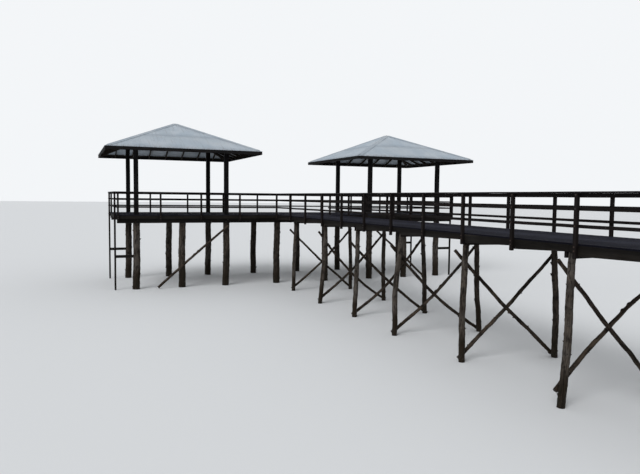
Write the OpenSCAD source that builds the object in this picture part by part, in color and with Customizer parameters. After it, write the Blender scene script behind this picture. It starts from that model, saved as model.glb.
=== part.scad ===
// Wooden jetty: six bays of a railed walkway on crooked round piles, and the
// head at its sea end, with two hip-roofed shelters. Millimetres.
// X runs along the walkway, towards the shore. Y runs across it. Z is up.
// The piles stand at Z = 0, and the origin is under the middle of the whole.

/* [Walkway] */
// Top of the deck above the feet of the piles
deck_height = 3450; // [2800:10:4200]
// Width over the outer faces of the edge beams
walkway_w = 2800; // [2400:10:3200]
// Deck that runs on past the first bent, at the shore end
shore_overhang = 1100; // [800:10:1400]
// First bay, from the shore
bay_1 = 3280; // [2600:10:3900]
// Second bay
bay_2 = 3360; // [2600:10:3900]
// Third bay
bay_3 = 3350; // [2600:10:3900]
// Fourth bay
bay_4 = 3190; // [2600:10:3900]
// Fifth bay
bay_5 = 2980; // [2600:10:3900]
// Sixth bay
bay_6 = 3450; // [2600:10:3900]
// From the last bent to the first beam line of the head
head_bay = 2900; // [2300:10:3300]

/* [Deck] */
// Thickness of the deck boards
deck_t = 40; // [30:1:60]
// Thickness of the beams under the deck
beam_t = 60; // [50:1:80]
// Depth of the beams under the deck
beam_h = 150; // [120:1:190]
// Distance of each inner beam from the centre line
inner_beam_y = 460; // [380:5:600]
// How much deeper an edge beam is at its sea end than at its shore end
edge_taper = 75; // [0:5:95]

/* [Bents] */
// Diameter of a pile at its foot
pile_foot_d = 172; // [150:1:200]
// Diameter of a pile at its head
pile_head_d = 155; // [130:1:170]
// Distance of a pile's head in from the outer face of the edge beam
pile_inset = 110; // [100:1:160]
// How far a pile bows out of line at mid height
pile_bow = 42; // [0:1:60]
// Thickness of each timber of a cap
cap_t = 60; // [50:1:80]
// Depth of the timbers of a cap
cap_h = 130; // [110:1:180]
// How far the ends of a cap stay in from the faces of the edge beams
cap_end_inset = 20; // [10:1:60]
// Diameter of a brace at its butt
brace_butt_d = 108; // [90:1:125]
// Diameter of a brace at its tip
brace_tip_d = 88; // [70:1:100]
// How far the falling brace sticks out past the near pile
brace_stub = 320; // [150:5:360]
// Height of the middling upper brace fixing below the deck
brace_top_drop = 700; // [640:5:900]
// Height of the lowest brace fixing above the feet
brace_foot_z = 100; // [100:5:300]

/* [Railing] */
// Top of the handrail above the deck
rail_height = 1050; // [900:5:1200]
// Side of the square rail posts
post_w = 80; // [70:1:100]
// Spacing of the rail posts
post_spacing = 1900; // [1500:10:2200]
// First near post in from the shore end
near_first_post = 310; // [100:5:600]
// First far post in from the shore end
far_first_post = 110; // [100:5:600]
// How far the posts hang below the edge beams
post_drop = 110; // [60:5:160]
// Thickness of the rails
rail_t = 40; // [30:1:50]
// Depth of the rails
rail_h = 70; // [60:1:90]
// Thickness of the board on top of the handrail
cap_rail_t = 35; // [25:1:45]
// How far that board oversails the posts and the rail
cap_rail_lip = 10; // [5:1:25]

/* [Head] */
// Distance between the two beam lines of the head
head_span = 4200; // [3800:10:4600]
// Deck of the head past its beam lines
head_edge = 300; // [260:5:400]
// Inner columns of a shelter, from the centre line
column_in_y = 3900; // [3600:10:4200]
// Outer columns of a shelter, out from its inner ones
column_gap = 4200; // [3900:10:4400]
// Deck of the head past its outer columns
arm_end = 900; // [700:10:1300]
// Diameter of the head's piles at the foot
head_pile_foot_d = 325; // [290:1:360]
// Diameter of the head's piles at the top
head_pile_top_d = 300; // [280:1:330]
// Depth of the head's clamped beams
head_cap_h = 200; // [160:5:240]
// Spacing of the joists under the arms of the head
joist_pitch = 700; // [600:10:800]
// Depth of the landing beams below the deck
landing_drop = 1980; // [1500:10:2400]

/* [Shelters] */
// Side of the square columns
column_w = 200; // [180:1:230]
// Top of the columns above the deck
column_h = 3280; // [2900:10:3600]
// Thickness of the wall plates
plate_t = 100; // [80:1:120]
// Depth of the wall plates
plate_h = 150; // [120:1:200]
// Half the width of a roof over its eaves
roof_half = 3500; // [3000:10:3700]
// Slope of the roofs in degrees
roof_pitch = 23; // [18:0.5:30]
// Thickness of the common rafters
rafter_t = 50; // [40:1:60]
// Depth of the rafters
rafter_h = 110; // [90:1:140]
// Spacing of the common rafters
rafter_pitch = 875; // [700:5:1000]
// Thickness of the hip rafters
hip_t = 60; // [50:1:80]
// Depth of the notch that seats a rafter on its plate
notch = 22; // [12:1:30]
// Width of the purlins that lie over the rafters
purlin_w = 70; // [50:1:90]
// Thickness of the purlins
purlin_t = 32; // [25:1:45]
// Spacing of the purlins
purlin_pitch = 800; // [600:10:1000]
// Depth of the corrugated roof sheets, crest to trough
sheet_t = 18; // [12:1:24]
// Thickness of the boards at the eaves
fascia_t = 30; // [20:1:40]
// Depth of the boards at the eaves
fascia_h = 150; // [120:1:180]

/* [Hidden] */
BAYS = [bay_1, bay_2, bay_3, bay_4, bay_5, bay_6];
LAST = len(BAYS);
$fn = 48;

SIDES = [-1, 1];
LOG_SIDES = 12;
seat = 0.3;
joint_gap = 2;

// How far each pile's foot stands outside its head, bent by bent from the shore
NEAR_BATTER = [90, 170, 40, 190, 100, 220, 110];
FAR_BATTER = [120, 130, 140, 180, 160, 40, 80];
// How far each far pile stands towards the shore of its near pile
BENT_SKEW = [0, -120, 480, 380, 220, 200, 340];
// Which way and how much each pile bows, as a share of the full bow
NEAR_BOW = [0.6, 1, -0.8, -2, 0.5, 0.9, -0.6];
FAR_BOW = [-0.7, -0.5, 0.9, -1, 0.6, -0.8, 0.7];
// How far each brace is fixed above or below the middling heights: the falling
// one at the near pile's head and the far pile's foot, the rising one at the
// near pile's foot and the far pile's head
FALL_TOP = [50, 90, -30, -180, -260, -130, -150];
FALL_FOOT = [70, 190, 0, 0, 0, 10, 20];
RISE_FOOT = [70, 260, 0, 0, 0, 60, 20];
RISE_TOP = [-50, -390, 30, 40, 40, 50, 0];
// Where the braces of a bent cross: across it from its middle, and up it as a
// share of the piles' height
CROSS_Y = [0, 40, 0, -80, 40, -150, 0];
CROSS_UP = [0.445, 0.463, 0.426, 0.381, 0.372, 0.384, 0.408];

walkway_half = walkway_w / 2;
beam_z = deck_height - deck_t - beam_h;
cap_z = beam_z - cap_h;
pile_y = walkway_half - pile_inset;
brace_top_z = deck_height - brace_top_drop;
rail_top_z = deck_height + rail_height;
cap_board_z = rail_top_z - cap_rail_t;
top_rail_z = cap_board_z - rail_h;
mid_rail_z = deck_height + rail_height * 2 / 3 - rail_h / 2;
low_rail_z = deck_height + rail_height / 3 - rail_h / 2;
post_z = beam_z - post_drop;

function sum_to(list, n) = n <= 0 ? 0 : list[n - 1] + sum_to(list, n - 1);
walkway_run = shore_overhang + sum_to(BAYS, LAST) + head_bay;
total_run = walkway_run + head_span / 2 + roof_half;
shore_x = total_run / 2;
shore_line_x = shore_x - walkway_run;
sea_line_x = shore_line_x - head_span;
head_x = (shore_line_x + sea_line_x) / 2;
head_shore_x = shore_line_x + head_edge;
head_sea_x = sea_line_x - head_edge;
function bent_x(i) = shore_x - shore_overhang - sum_to(BAYS, i);

head_beam_z = beam_z - head_cap_h;
column_out_y = column_in_y + column_gap;
head_arm = column_out_y + arm_end;
shelter_y = (column_in_y + column_out_y) / 2;
column_half_x = head_span / 2;
column_half_y = column_gap / 2;
HEAD_PILE_Y = [pile_y, column_in_y, shelter_y, column_out_y];

plate_z = deck_height + column_h;
roof_rise = roof_half * tan(roof_pitch);
rafter_plumb = rafter_h / cos(roof_pitch);
plate_out = max(column_half_x, column_half_y) + plate_t / 2;
eave_z = plate_z + plate_h - notch + rafter_plumb - (roof_half - plate_out) * tan(roof_pitch);

// Positions from one end to another, evenly spaced at about a given pitch
function spread(from, to, pitch) =
    let (n = max(1, round(abs(to - from) / pitch)))
    [for (k = [0:n]) from + (to - from) * k / n];

// Point on a line through two points at share t
function along(p, q, t) = p + (q - p) * t;

// Smooth curve through three values given at three shares
function through(t, ts, vs) =
    vs[0] * (t - ts[1]) * (t - ts[2]) / ((ts[0] - ts[1]) * (ts[0] - ts[2]))
    + vs[1] * (t - ts[0]) * (t - ts[2]) / ((ts[1] - ts[0]) * (ts[1] - ts[2]))
    + vs[2] * (t - ts[0]) * (t - ts[1]) / ((ts[2] - ts[0]) * (ts[2] - ts[1]));

// A round log lofted along a list of centres, one radius for each, its rings
// square to the axis w
module log(centres, radii, w) {
    s = LOG_SIDES;
    last = len(centres) - 1;
    u = abs(w.z) > 0.9 ? [1, 0, 0] : [1, 0, 0] - w * w.x;
    uu = u / norm(u);
    ww = w / norm(w);
    v = cross(ww, uu);
    points = [
        for (k = [0:last])
            for (j = [0:s - 1])
                centres[k] + radii[k] * (cos(360 * j / s) * uu + sin(360 * j / s) * v)
    ];
    sides = [
        for (k = [0:last - 1])
            for (j = [0:s - 1])
                let (a = k * s + j, b = k * s + (j + 1) % s)
                for (tri = [[a, a + s, b + s], [a, b + s, b]]) tri
    ];
    foot = [for (j = [0:s - 1]) j];
    head = [for (j = [0:s - 1]) last * s + s - 1 - j];
    polyhedron(points = points, faces = concat(sides, [foot, head]), convexity = 4);
}

// Share of the full bow at share t of a log's length, none at its ends
function bow_at(t) = sin(180 * t) * sin(180 * t);

// A natural pile: tapered, leaning out at its foot, with a slow double curve
function pile_centre(t, foot_y, head_y, z_top, bow) = [
    pile_bow * bow * 0.55 * bow_at(t) * sin(300 * t + 40),
    along(foot_y, head_y, t) + pile_bow * bow * bow_at(t),
    z_top * t
];

module pile(foot_y, head_y, z_top, foot_d, head_d, bow, rings) {
    log(
        [for (k = [0:rings]) pile_centre(k / rings, foot_y, head_y, z_top, bow)],
        [for (k = [0:rings]) along(foot_d, head_d, k / rings) / 2],
        [0, 0, 1]
    );
}

// Places and turns what belongs to one bent
module at_bent(i) {
    skew = atan2(BENT_SKEW[i], 2 * pile_y);
    translate([bent_x(i), 0, 0]) rotate([0, 0, -skew]) children();
}

module piles_bent(i) {
    color("dimgray") at_bent(i) {
        pile(-pile_y - NEAR_BATTER[i], -pile_y, beam_z, pile_foot_d, pile_head_d, NEAR_BOW[i], 8);
        pile(pile_y + FAR_BATTER[i], pile_y, beam_z, pile_foot_d, pile_head_d, FAR_BOW[i], 8);
    }
}

// Centre and radius of a pile at height z
function near_pile(i, z) =
    pile_centre(z / beam_z, -pile_y - NEAR_BATTER[i], -pile_y, beam_z, NEAR_BOW[i]);
function far_pile(i, z) =
    pile_centre(z / beam_z, pile_y + FAR_BATTER[i], pile_y, beam_z, FAR_BOW[i]);
function pile_r(z) = along(pile_foot_d, pile_head_d, z / beam_z) / 2;

// A crooked brace of one bent from fixing to fixing by way of the crossing,
// with a length past each fixing. Its centre keeps to the sea side of both
// piles and bows to pass its partner.
module brace(from, cross, to, from_past, to_past, r_from, r_to) {
    run = norm([to.y - from.y, to.z - from.z]);
    t0 = -from_past / run;
    t1 = 1 + to_past / run;
    stations = [0, (cross.y - from.y) / (to.y - from.y), 1];
    rings = 8;
    shares = [for (k = [0:rings]) along(t0, t1, k / rings)];
    log(
        [
            for (t = shares) [
                through(t, stations, [from.x, cross.x, to.x]),
                along(from.y, to.y, t),
                through(t, stations, [from.z, cross.z, to.z])
                    + 18 * sin(540 * t + 30) * bow_at(max(0, min(1, t)))
            ]
        ],
        [for (k = [0:rings]) along(r_from, r_to, k / rings)],
        [0, (to.y - from.y) / run, (to.z - from.z) / run]
    );
}

// Where a brace of radius r lies against a pile on its sea side
function beside(centre, z, r) = [centre.x - pile_r(z) - r - seat, centre.y, z];

// The two braces of a bent, crossing: the falling one runs from the near
// pile's head to the far pile's foot, the rising one from foot to head
module braces_bent(i) {
    r_butt = brace_butt_d / 2;
    r_tip = brace_tip_d / 2;
    fall_top_z = brace_top_z + FALL_TOP[i];
    fall_foot_z = brace_foot_z + FALL_FOOT[i];
    rise_foot_z = brace_foot_z + RISE_FOOT[i];
    rise_top_z = brace_top_z + RISE_TOP[i];
    fall_top = beside(near_pile(i, fall_top_z), fall_top_z, r_tip);
    fall_foot = beside(far_pile(i, fall_foot_z), fall_foot_z, r_butt);
    rise_foot = beside(near_pile(i, rise_foot_z), rise_foot_z, r_butt);
    rise_top = beside(far_pile(i, rise_top_z), rise_top_z, r_tip);
    mid_x = (fall_top.x + fall_foot.x) / 2;
    pass = (r_butt + r_tip) / 2 + 3;
    cross_z = beam_z * CROSS_UP[i];
    color("sienna") at_bent(i) {
        brace(fall_top, [mid_x + pass, CROSS_Y[i], cross_z], fall_foot, brace_stub, 60, r_tip, r_butt);
        brace(rise_foot, [mid_x - pass, CROSS_Y[i], cross_z], rise_top, 60, 120, r_butt, r_tip);
    }
}

// Pairs of timbers that clamp the pile heads and carry the beams
module bent_caps() {
    reach = walkway_half - cap_end_inset;
    color("saddlebrown")
        for (i = [0:LAST])
            at_bent(i)
                for (side = SIDES)
                    translate([side * (pile_head_d / 2 + seat + cap_t / 2), 0, cap_z + cap_h / 2])
                        cube([cap_t, 2 * reach, cap_h], center = true);
}

function first_post(side) = side < 0 ? near_first_post : far_first_post;

// Lengths between butt joints that come at every third post of a side, from
// its nth post in from the shore
function lengths(from, to, side, nth) =
    let (step = 3 * post_spacing)
    let (first = from - first_post(side) - nth * post_spacing)
    let (cuts = [for (c = [first : -step : to + post_spacing / 2]) c])
    let (ends = concat([from], cuts, [to]))
    [for (k = [0:len(ends) - 2]) [ends[k], ends[k + 1] + (k == len(ends) - 2 ? 0 : joint_gap)]];

// A bar along X between two ends, at the height z of its underside
module bar_x(ends, y, z, w, h) {
    translate([min(ends), y - w / 2, z]) cube([abs(ends[0] - ends[1]), w, h]);
}

// A bar along Y between two ends
module bar_y(ends, x, z, w, h) {
    translate([x - w / 2, min(ends), z]) cube([w, abs(ends[0] - ends[1]), h]);
}

// Where the cap of a bent carries an edge beam, and half the width of that seat
function seat_x(i, side) = bent_x(i) + side * (walkway_half - beam_t / 2) * BENT_SKEW[i] / (2 * pile_y);
function seat_half(i) =
    let (skew = atan2(BENT_SKEW[i], 2 * pile_y))
    (pile_head_d / 2 + seat + cap_t) / cos(skew) + beam_t / 2 * abs(tan(skew)) + seat;

// Ends of the edge beams' lengths from the shore, each with half the seat under
// it: on the bents, at one near post between two bents, and on the head
function edge_ends(side) =
    let (split_x = shore_x - near_first_post - 3 * post_spacing)
    let (bents = [for (i = [0:LAST]) [seat_x(i, side), seat_half(i)]])
    concat(
        [[shore_x, 0]],
        [for (b = bents) if (side > 0 || b.x > split_x) b],
        side < 0 ? [[split_x, 0]] : [],
        [for (b = bents) if (side < 0 && b.x < split_x) b],
        [[shore_line_x, column_w / 2 + cap_t + 2 * seat]]
    );

// One length, seated level at its ends, its underside planed up towards the shore
module edge_beam(shore_end, sea_end, y) {
    from = sea_end.x + joint_gap / 2;
    to = shore_end.x - joint_gap / 2;
    deep = from + sea_end.y;
    thin = to - shore_end.y;
    top = beam_z + beam_h;
    low = beam_z - edge_taper;
    translate([0, y + beam_t / 2, 0])
        rotate([90, 0, 0])
            linear_extrude(beam_t)
                polygon([
                    [to, beam_z], [to, top], [from, top], [from, beam_z],
                    [deep, beam_z], [deep, low], [thin, beam_z]
                ]);
}

module edge_beams() {
    color("darkolivegreen")
        for (side = SIDES) {
            y = side * (walkway_half - beam_t / 2);
            ends = edge_ends(side);
            for (k = [1:len(ends) - 1]) edge_beam(ends[k - 1], ends[k], y);
            bar_x([shore_line_x - joint_gap / 2, head_sea_x + beam_t], y, beam_z, beam_t, beam_h);
        }
}

module inner_beams() {
    color("darkolivegreen")
        for (side = SIDES)
            bar_x([shore_x, head_sea_x + beam_t], side * inner_beam_y, beam_z, beam_t, beam_h);
}

module walkway_deck() {
    color("slategray")
        bar_x([shore_x, head_shore_x + joint_gap], 0, deck_height - deck_t, walkway_w, deck_t);
}

// Posts of one side, at their spacing from the shore end
function walkway_post_x(side) = [
    for (x = [shore_x - first_post(side) : -post_spacing : head_shore_x + post_spacing / 3]) x
];

module rail_post(x, y, foot_z) {
    translate([x - post_w / 2, y - post_w / 2, foot_z]) cube([post_w, post_w, cap_board_z - foot_z]);
}

module walkway_posts() {
    color("maroon")
        for (side = SIDES)
            for (x = walkway_post_x(side))
                rail_post(x, side * (walkway_half + post_w / 2), post_z);
}

// One rail on both sides of the walkway, inside the posts
module walkway_rails(z, nth) {
    for (side = SIDES)
        for (part = lengths(shore_x, head_shore_x + seat, side, nth))
            bar_x(part, side * (walkway_half - rail_t / 2), z, rail_t, rail_h);
}

module walkway_top_rails() {
    color("maroon") walkway_rails(top_rail_z, 2);
}

module walkway_mid_rails() {
    color("maroon") walkway_rails(mid_rail_z, 1);
}

module walkway_low_rails() {
    color("maroon") walkway_rails(low_rail_z, 3);
}

// The flat board over the posts and the top rail
cap_board_w = post_w + rail_t + 2 * cap_rail_lip;
cap_board_in = rail_t + cap_rail_lip;

module walkway_cap_boards() {
    y = walkway_half - cap_board_in + cap_board_w / 2;
    end_x = head_shore_x - cap_board_in + cap_board_w + seat;
    color("rosybrown")
        for (side = SIDES)
            for (part = lengths(shore_x, end_x, side, 3))
                bar_x(part, side * y, cap_board_z, cap_board_w, cap_rail_t);
}

// Thick round piles under both beam lines of the head
head_batter = 30;
function head_bow(side, k) = side * (k % 2 == 0 ? 0.6 : -0.6);
function head_pile_r(z) = along(head_pile_foot_d, head_pile_top_d, z / head_beam_z) / 2;

module head_piles() {
    color("dimgray")
        for (x = [shore_line_x, sea_line_x])
            for (side = SIDES)
                for (k = [0 : len(HEAD_PILE_Y) - 1])
                    translate([x, 0, 0])
                        pile(
                            side * (HEAD_PILE_Y[k] + head_batter), side * HEAD_PILE_Y[k],
                            head_beam_z, head_pile_foot_d, head_pile_top_d, head_bow(side, k), 5
                        );
}

// Pairs of long timbers on the pile heads, clamped to the columns
module head_beams() {
    color("saddlebrown")
        for (x = [shore_line_x, sea_line_x])
            for (face = SIDES)
                bar_y(
                    [-head_arm + beam_t, head_arm - beam_t],
                    x + face * (column_w / 2 + seat + cap_t / 2), head_beam_z, cap_t, head_cap_h
                );
}

joist_end_y = head_arm - beam_t - beam_t / 2;
JOIST_Y = concat(
    spread(walkway_half + joist_pitch, column_in_y - joist_pitch, joist_pitch),
    [for (k = [1 : floor(column_gap / joist_pitch - 0.5)]) column_in_y + k * joist_pitch],
    [joist_end_y]
);

module head_joists() {
    color("darkolivegreen")
        for (side = SIDES)
            for (y = JOIST_Y)
                bar_x([head_shore_x - beam_t, head_sea_x + beam_t], side * y, beam_z, beam_t, beam_h);
}

// Square holes in the head's deck, where the columns come through
module column_holes(clear) {
    hole = column_w + 2 * clear;
    for (x = [shore_line_x, sea_line_x])
        for (side = SIDES)
            for (y = [column_in_y, column_out_y])
                translate([x - hole / 2, side * y - hole / 2, 0]) square(hole);
}

module head_deck() {
    color("slategray")
        translate([0, 0, deck_height - deck_t])
            linear_extrude(deck_t)
                difference() {
                    translate([head_sea_x, -head_arm]) square([head_shore_x - head_sea_x, 2 * head_arm]);
                    column_holes(seat);
                }
}

// Boards that close the edges of the head under its deck
module head_fascia() {
    color("darkolivegreen")
        for (side = SIDES) {
            bar_y(
                [side * (walkway_half + seat), side * (head_arm - beam_t - seat)],
                head_shore_x - beam_t / 2 + seat, beam_z, beam_t, beam_h
            );
            bar_x(
                [head_sea_x + beam_t, head_shore_x + seat],
                side * (head_arm - beam_t / 2), beam_z, beam_t, beam_h
            );
        }
    color("darkolivegreen")
        bar_y([-head_arm, head_arm], head_sea_x + beam_t / 2 - seat, beam_z, beam_t, beam_h);
}

// Post positions along the edges of the head
END_POST_X = [shore_line_x, sea_line_x];
ARM_POST_Y = spread(walkway_half + post_w / 2, head_arm - post_w, post_spacing);
SEA_POST_Y = spread(-head_arm + post_w, head_arm - post_w, post_spacing);

module head_posts() {
    color("maroon") {
        for (side = SIDES)
            for (y = ARM_POST_Y)
                rail_post(head_shore_x + post_w / 2 + seat, side * y, post_z);
        for (y = SEA_POST_Y)
            rail_post(head_sea_x - post_w / 2 - seat, y, post_z);
    }
}

// One rail round the head, inside the posts and the landing posts
module head_rails(z) {
    for (side = SIDES) {
        bar_y(
            [side * (walkway_half - rail_t), side * head_arm],
            head_shore_x - rail_t / 2, z, rail_t, rail_h
        );
        bar_x(
            [head_sea_x + rail_t + seat, head_shore_x - rail_t - seat],
            side * (head_arm - rail_t / 2), z, rail_t, rail_h
        );
    }
    bar_y([-head_arm, head_arm], head_sea_x + rail_t / 2, z, rail_t, rail_h);
}

module head_top_rails() {
    color("maroon") head_rails(top_rail_z);
}

module head_mid_rails() {
    color("maroon") head_rails(mid_rail_z);
}

module head_low_rails() {
    color("maroon") head_rails(low_rail_z);
}

module head_cap_boards() {
    mid = cap_board_w / 2 - cap_board_in;
    out = cap_board_w - cap_board_in;
    color("rosybrown") {
        for (side = SIDES) {
            bar_y(
                [side * (walkway_half - cap_board_in), side * (head_arm + out)],
                head_shore_x + mid, cap_board_z, cap_board_w, cap_rail_t
            );
            bar_x(
                [head_sea_x + cap_board_in + seat, head_shore_x - cap_board_in - seat],
                side * (head_arm + mid), cap_board_z, cap_board_w, cap_rail_t
            );
        }
        bar_y(
            [-head_arm - out, head_arm + out],
            head_sea_x - mid, cap_board_z, cap_board_w, cap_rail_t
        );
    }
}

// One raking log on each arm, beside the piles of the shoreward line: fixed to
// the inner column's pile at its top and to the middle pile on its way down
rake_d = 120;
rake_top_past = 60;
rake_top_z = head_beam_z - 130;
rake_slope = 1.16;
module raking_braces() {
    rings = 6;
    r = rake_d / 2;
    top_y = column_in_y - rake_top_past;
    foot_y = top_y + (rake_top_z - r) * rake_slope;
    run = norm([foot_y - top_y, rake_top_z - r]);
    // Share of the log's length, and place, at its fixing to pile k
    function fix_t(k) = (HEAD_PILE_Y[k] - top_y) / (foot_y - top_y);
    function fix_z(k) = along(rake_top_z, r, fix_t(k));
    function fix_x(side, k) =
        pile_centre(fix_z(k) / head_beam_z, 0, 0, head_beam_z, head_bow(side, k)).x
        + head_pile_r(fix_z(k)) + r * along(0.85, 1, fix_t(k)) + 2 * seat;
    function rake_x(side, t) = along(
        fix_x(side, 1), fix_x(side, 2), (t - fix_t(1)) / (fix_t(2) - fix_t(1))
    );
    color("sienna")
        for (side = SIDES)
            log(
                [
                    for (k = [0:rings]) [
                        shore_line_x + rake_x(side, k / rings),
                        side * along(top_y, foot_y, k / rings),
                        along(rake_top_z, r, k / rings) + 25 * bow_at(k / rings)
                    ]
                ],
                [for (k = [0:rings]) r * along(0.85, 1, k / rings)],
                [0, side * (foot_y - top_y) / run, (r - rake_top_z) / run]
            );
}

// Long posts at both ends of the head, from the handrail down to the sea bed,
// and the beams of the low landing that they carry
module landing_posts() {
    color("maroon")
        for (side = SIDES)
            for (x = END_POST_X)
                rail_post(x, side * (head_arm + post_w / 2), 0);
}

module landing_beams() {
    z = deck_height - landing_drop;
    // Outer face of the outermost pile at height z
    function pile_face(z) =
        pile_centre(z / head_beam_z, column_out_y + head_batter, column_out_y, head_beam_z, head_bow(1, 3)).y
        + head_pile_r(z);
    from = max(pile_face(z), pile_face(z + cap_h)) + seat;
    color("saddlebrown")
        for (side = SIDES)
            for (x = END_POST_X)
                bar_y([side * from, side * head_arm], x, z, beam_t, cap_h);
}

module shelter_columns() {
    color("black")
        for (x = [shore_line_x, sea_line_x])
            for (side = SIDES)
                for (y = [column_in_y, column_out_y])
                    translate([x - column_w / 2, side * y - column_w / 2, head_beam_z])
                        cube([column_w, column_w, plate_z - head_beam_z]);
}

// Everything of a shelter that is placed from the middle of its roof
module at_shelters() {
    for (side = SIDES) translate([head_x, side * shelter_y, 0]) children();
}

// Beams on the column heads: two whole ones, and two between them
module plates(grow) {
    for (side = SIDES) {
        translate([side * column_half_x, 0, plate_z + plate_h / 2])
            cube(
                [plate_t + 2 * grow, 2 * column_half_y + column_w + 2 * grow, plate_h + 2 * grow],
                center = true
            );
        translate([0, side * column_half_y, plate_z + plate_h / 2])
            cube(
                [2 * column_half_x - plate_t - 2 * seat, plate_t + 2 * grow, plate_h + 2 * grow],
                center = true
            );
    }
}

module wall_plates() {
    color("black") at_shelters() plates(0);
}

// Height of the underside of the roof sheets at a distance d from the middle
function roof_z(d) = eave_z + (roof_half - d) * tan(roof_pitch);

rafter_tail = roof_half - fascia_t - 10;

// One rafter as its side view, swept over its thickness
module rafter(top_d, thickness, slope_scale, drop, depth) {
    z = function (d) roof_z(d / slope_scale) - drop;
    a = top_d * slope_scale;
    b = rafter_tail * slope_scale;
    translate([0, thickness / 2, 0])
        rotate([90, 0, 0])
            linear_extrude(thickness)
                polygon([[a, z(a)], [b, z(b)], [b, z(b) - depth], [a, z(a) - depth]]);
}

hip_drop = hip_t / 2 * sin(45) * tan(roof_pitch) + 1;

module hip_rafters() {
    color("saddlebrown")
        at_shelters()
            for (k = [0:3])
                difference() {
                    rotate([0, 0, 45 + 90 * k])
                        rafter(
                            (k % 2 == 0 ? seat : hip_t / 2 + seat) / sqrt(2),
                            hip_t, sqrt(2), hip_drop, rafter_plumb - hip_drop
                        );
                    plates(seat);
                }
}

// Jack rafters on each of the four slopes, each one ending at a hip
module common_rafters() {
    n = floor((roof_half - 400) / rafter_pitch);
    color("saddlebrown")
        at_shelters()
            for (turn = [0:90:270])
                for (k = [-n:n])
                    difference() {
                        rotate([0, 0, turn])
                            translate([0, k * rafter_pitch, 0])
                                rafter(
                                    abs(k) * rafter_pitch + rafter_t / 2 + hip_t / sqrt(2) + seat,
                                    rafter_t, 1, 0, rafter_plumb
                                );
                        plates(seat);
                    }
}

// Height of the purlins' tops over the rafters, measured plumb
purlin_lift = (purlin_t + seat) / cos(roof_pitch);

// Battens round the roof over the rafters, mitred at the hips
module purlins() {
    mitre = joint_gap / 2;
    half_w = purlin_w / 2 * cos(roof_pitch);
    lowest = rafter_tail - half_w - purlin_t * sin(roof_pitch) - seat;
    color("saddlebrown")
        at_shelters()
            for (turn = [0:90:270])
                for (d = spread(lowest, 300, purlin_pitch)) {
                    out = d + half_w;
                    in = d - half_w;
                    rotate([0, 0, turn])
                        translate([0, -roof_half, eave_z + seat])
                            rotate([roof_pitch, 0, 0])
                                linear_extrude(purlin_t)
                                    polygon([
                                        [mitre - out, (roof_half - out) / cos(roof_pitch)],
                                        [out - mitre, (roof_half - out) / cos(roof_pitch)],
                                        [in - mitre, (roof_half - in) / cos(roof_pitch)],
                                        [mitre - in, (roof_half - in) / cos(roof_pitch)]
                                    ]);
                }
}

module eave_boards() {
    reach = roof_half - 10;
    z = eave_z + purlin_lift - fascia_h + 4;
    color("black")
        at_shelters()
            for (side = SIDES) {
                translate([side * (reach - fascia_t / 2), 0, z + fascia_h / 2])
                    cube([fascia_t, 2 * reach, fascia_h], center = true);
                translate([0, side * (reach - fascia_t / 2), z + fascia_h / 2])
                    cube([2 * (reach - fascia_t - seat), fascia_t, fascia_h], center = true);
            }
}

// Four triangular slopes of sheet, met at the hips
module roof_sheets() {
    slope = roof_half / cos(roof_pitch);
    color("gainsboro")
        at_shelters()
            for (turn = [0:90:270])
                rotate([0, 0, turn])
                    translate([0, -roof_half, eave_z + purlin_lift + seat])
                        rotate([roof_pitch, 0, 0])
                            linear_extrude(sheet_t)
                                polygon([[-roof_half + 1, 0], [roof_half - 1, 0], [0, slope - 1]]);
}

// Folded cappings along the hips
hip_cap_w = 150;
hip_cap_t = 3;
hip_cap_top = 90;
hip_cap_short = 120;
module hip_caps() {
    pitch = atan(tan(roof_pitch) / sqrt(2));
    fold = atan(sin(roof_pitch) / sqrt(2) / sqrt(1 - pow(sin(roof_pitch) / sqrt(2), 2)));
    run = (roof_half - hip_cap_short) * sqrt(2) / cos(pitch);
    lift = purlin_lift + (sheet_t + 2 * seat) / cos(roof_pitch);
    color("whitesmoke")
        at_shelters()
            for (turn = [45:90:315])
                rotate([0, 0, turn])
                    translate([0, 0, eave_z + roof_rise + lift])
                        rotate([0, 90 + pitch, 0])
                            translate([0, 0, hip_cap_top])
                                linear_extrude(run - hip_cap_top)
                                    polygon([
                                        [0, 0], [hip_cap_w * sin(fold), hip_cap_w * cos(fold)],
                                        [hip_cap_w * sin(fold) - hip_cap_t, hip_cap_w * cos(fold)],
                                        [-hip_cap_t, 0],
                                        [hip_cap_w * sin(fold) - hip_cap_t, -hip_cap_w * cos(fold)],
                                        [hip_cap_w * sin(fold), -hip_cap_w * cos(fold)]
                                    ]);
}

for (i = [0:LAST]) piles_bent(i);
for (i = [0:LAST]) braces_bent(i);
bent_caps();
edge_beams();
inner_beams();
walkway_deck();
walkway_posts();
walkway_cap_boards();
walkway_top_rails();
walkway_mid_rails();
walkway_low_rails();
head_piles();
head_beams();
head_joists();
head_deck();
head_fascia();
head_posts();
head_cap_boards();
head_top_rails();
head_mid_rails();
head_low_rails();
raking_braces();
landing_posts();
landing_beams();
shelter_columns();
wall_plates();
hip_rafters();
common_rafters();
eave_boards();
purlins();
roof_sheets();
hip_caps();
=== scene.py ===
import math
import random

import bmesh
import bpy
import numpy as np
from mathutils import Matrix, Vector
from mathutils.bvhtree import BVHTree


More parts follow.
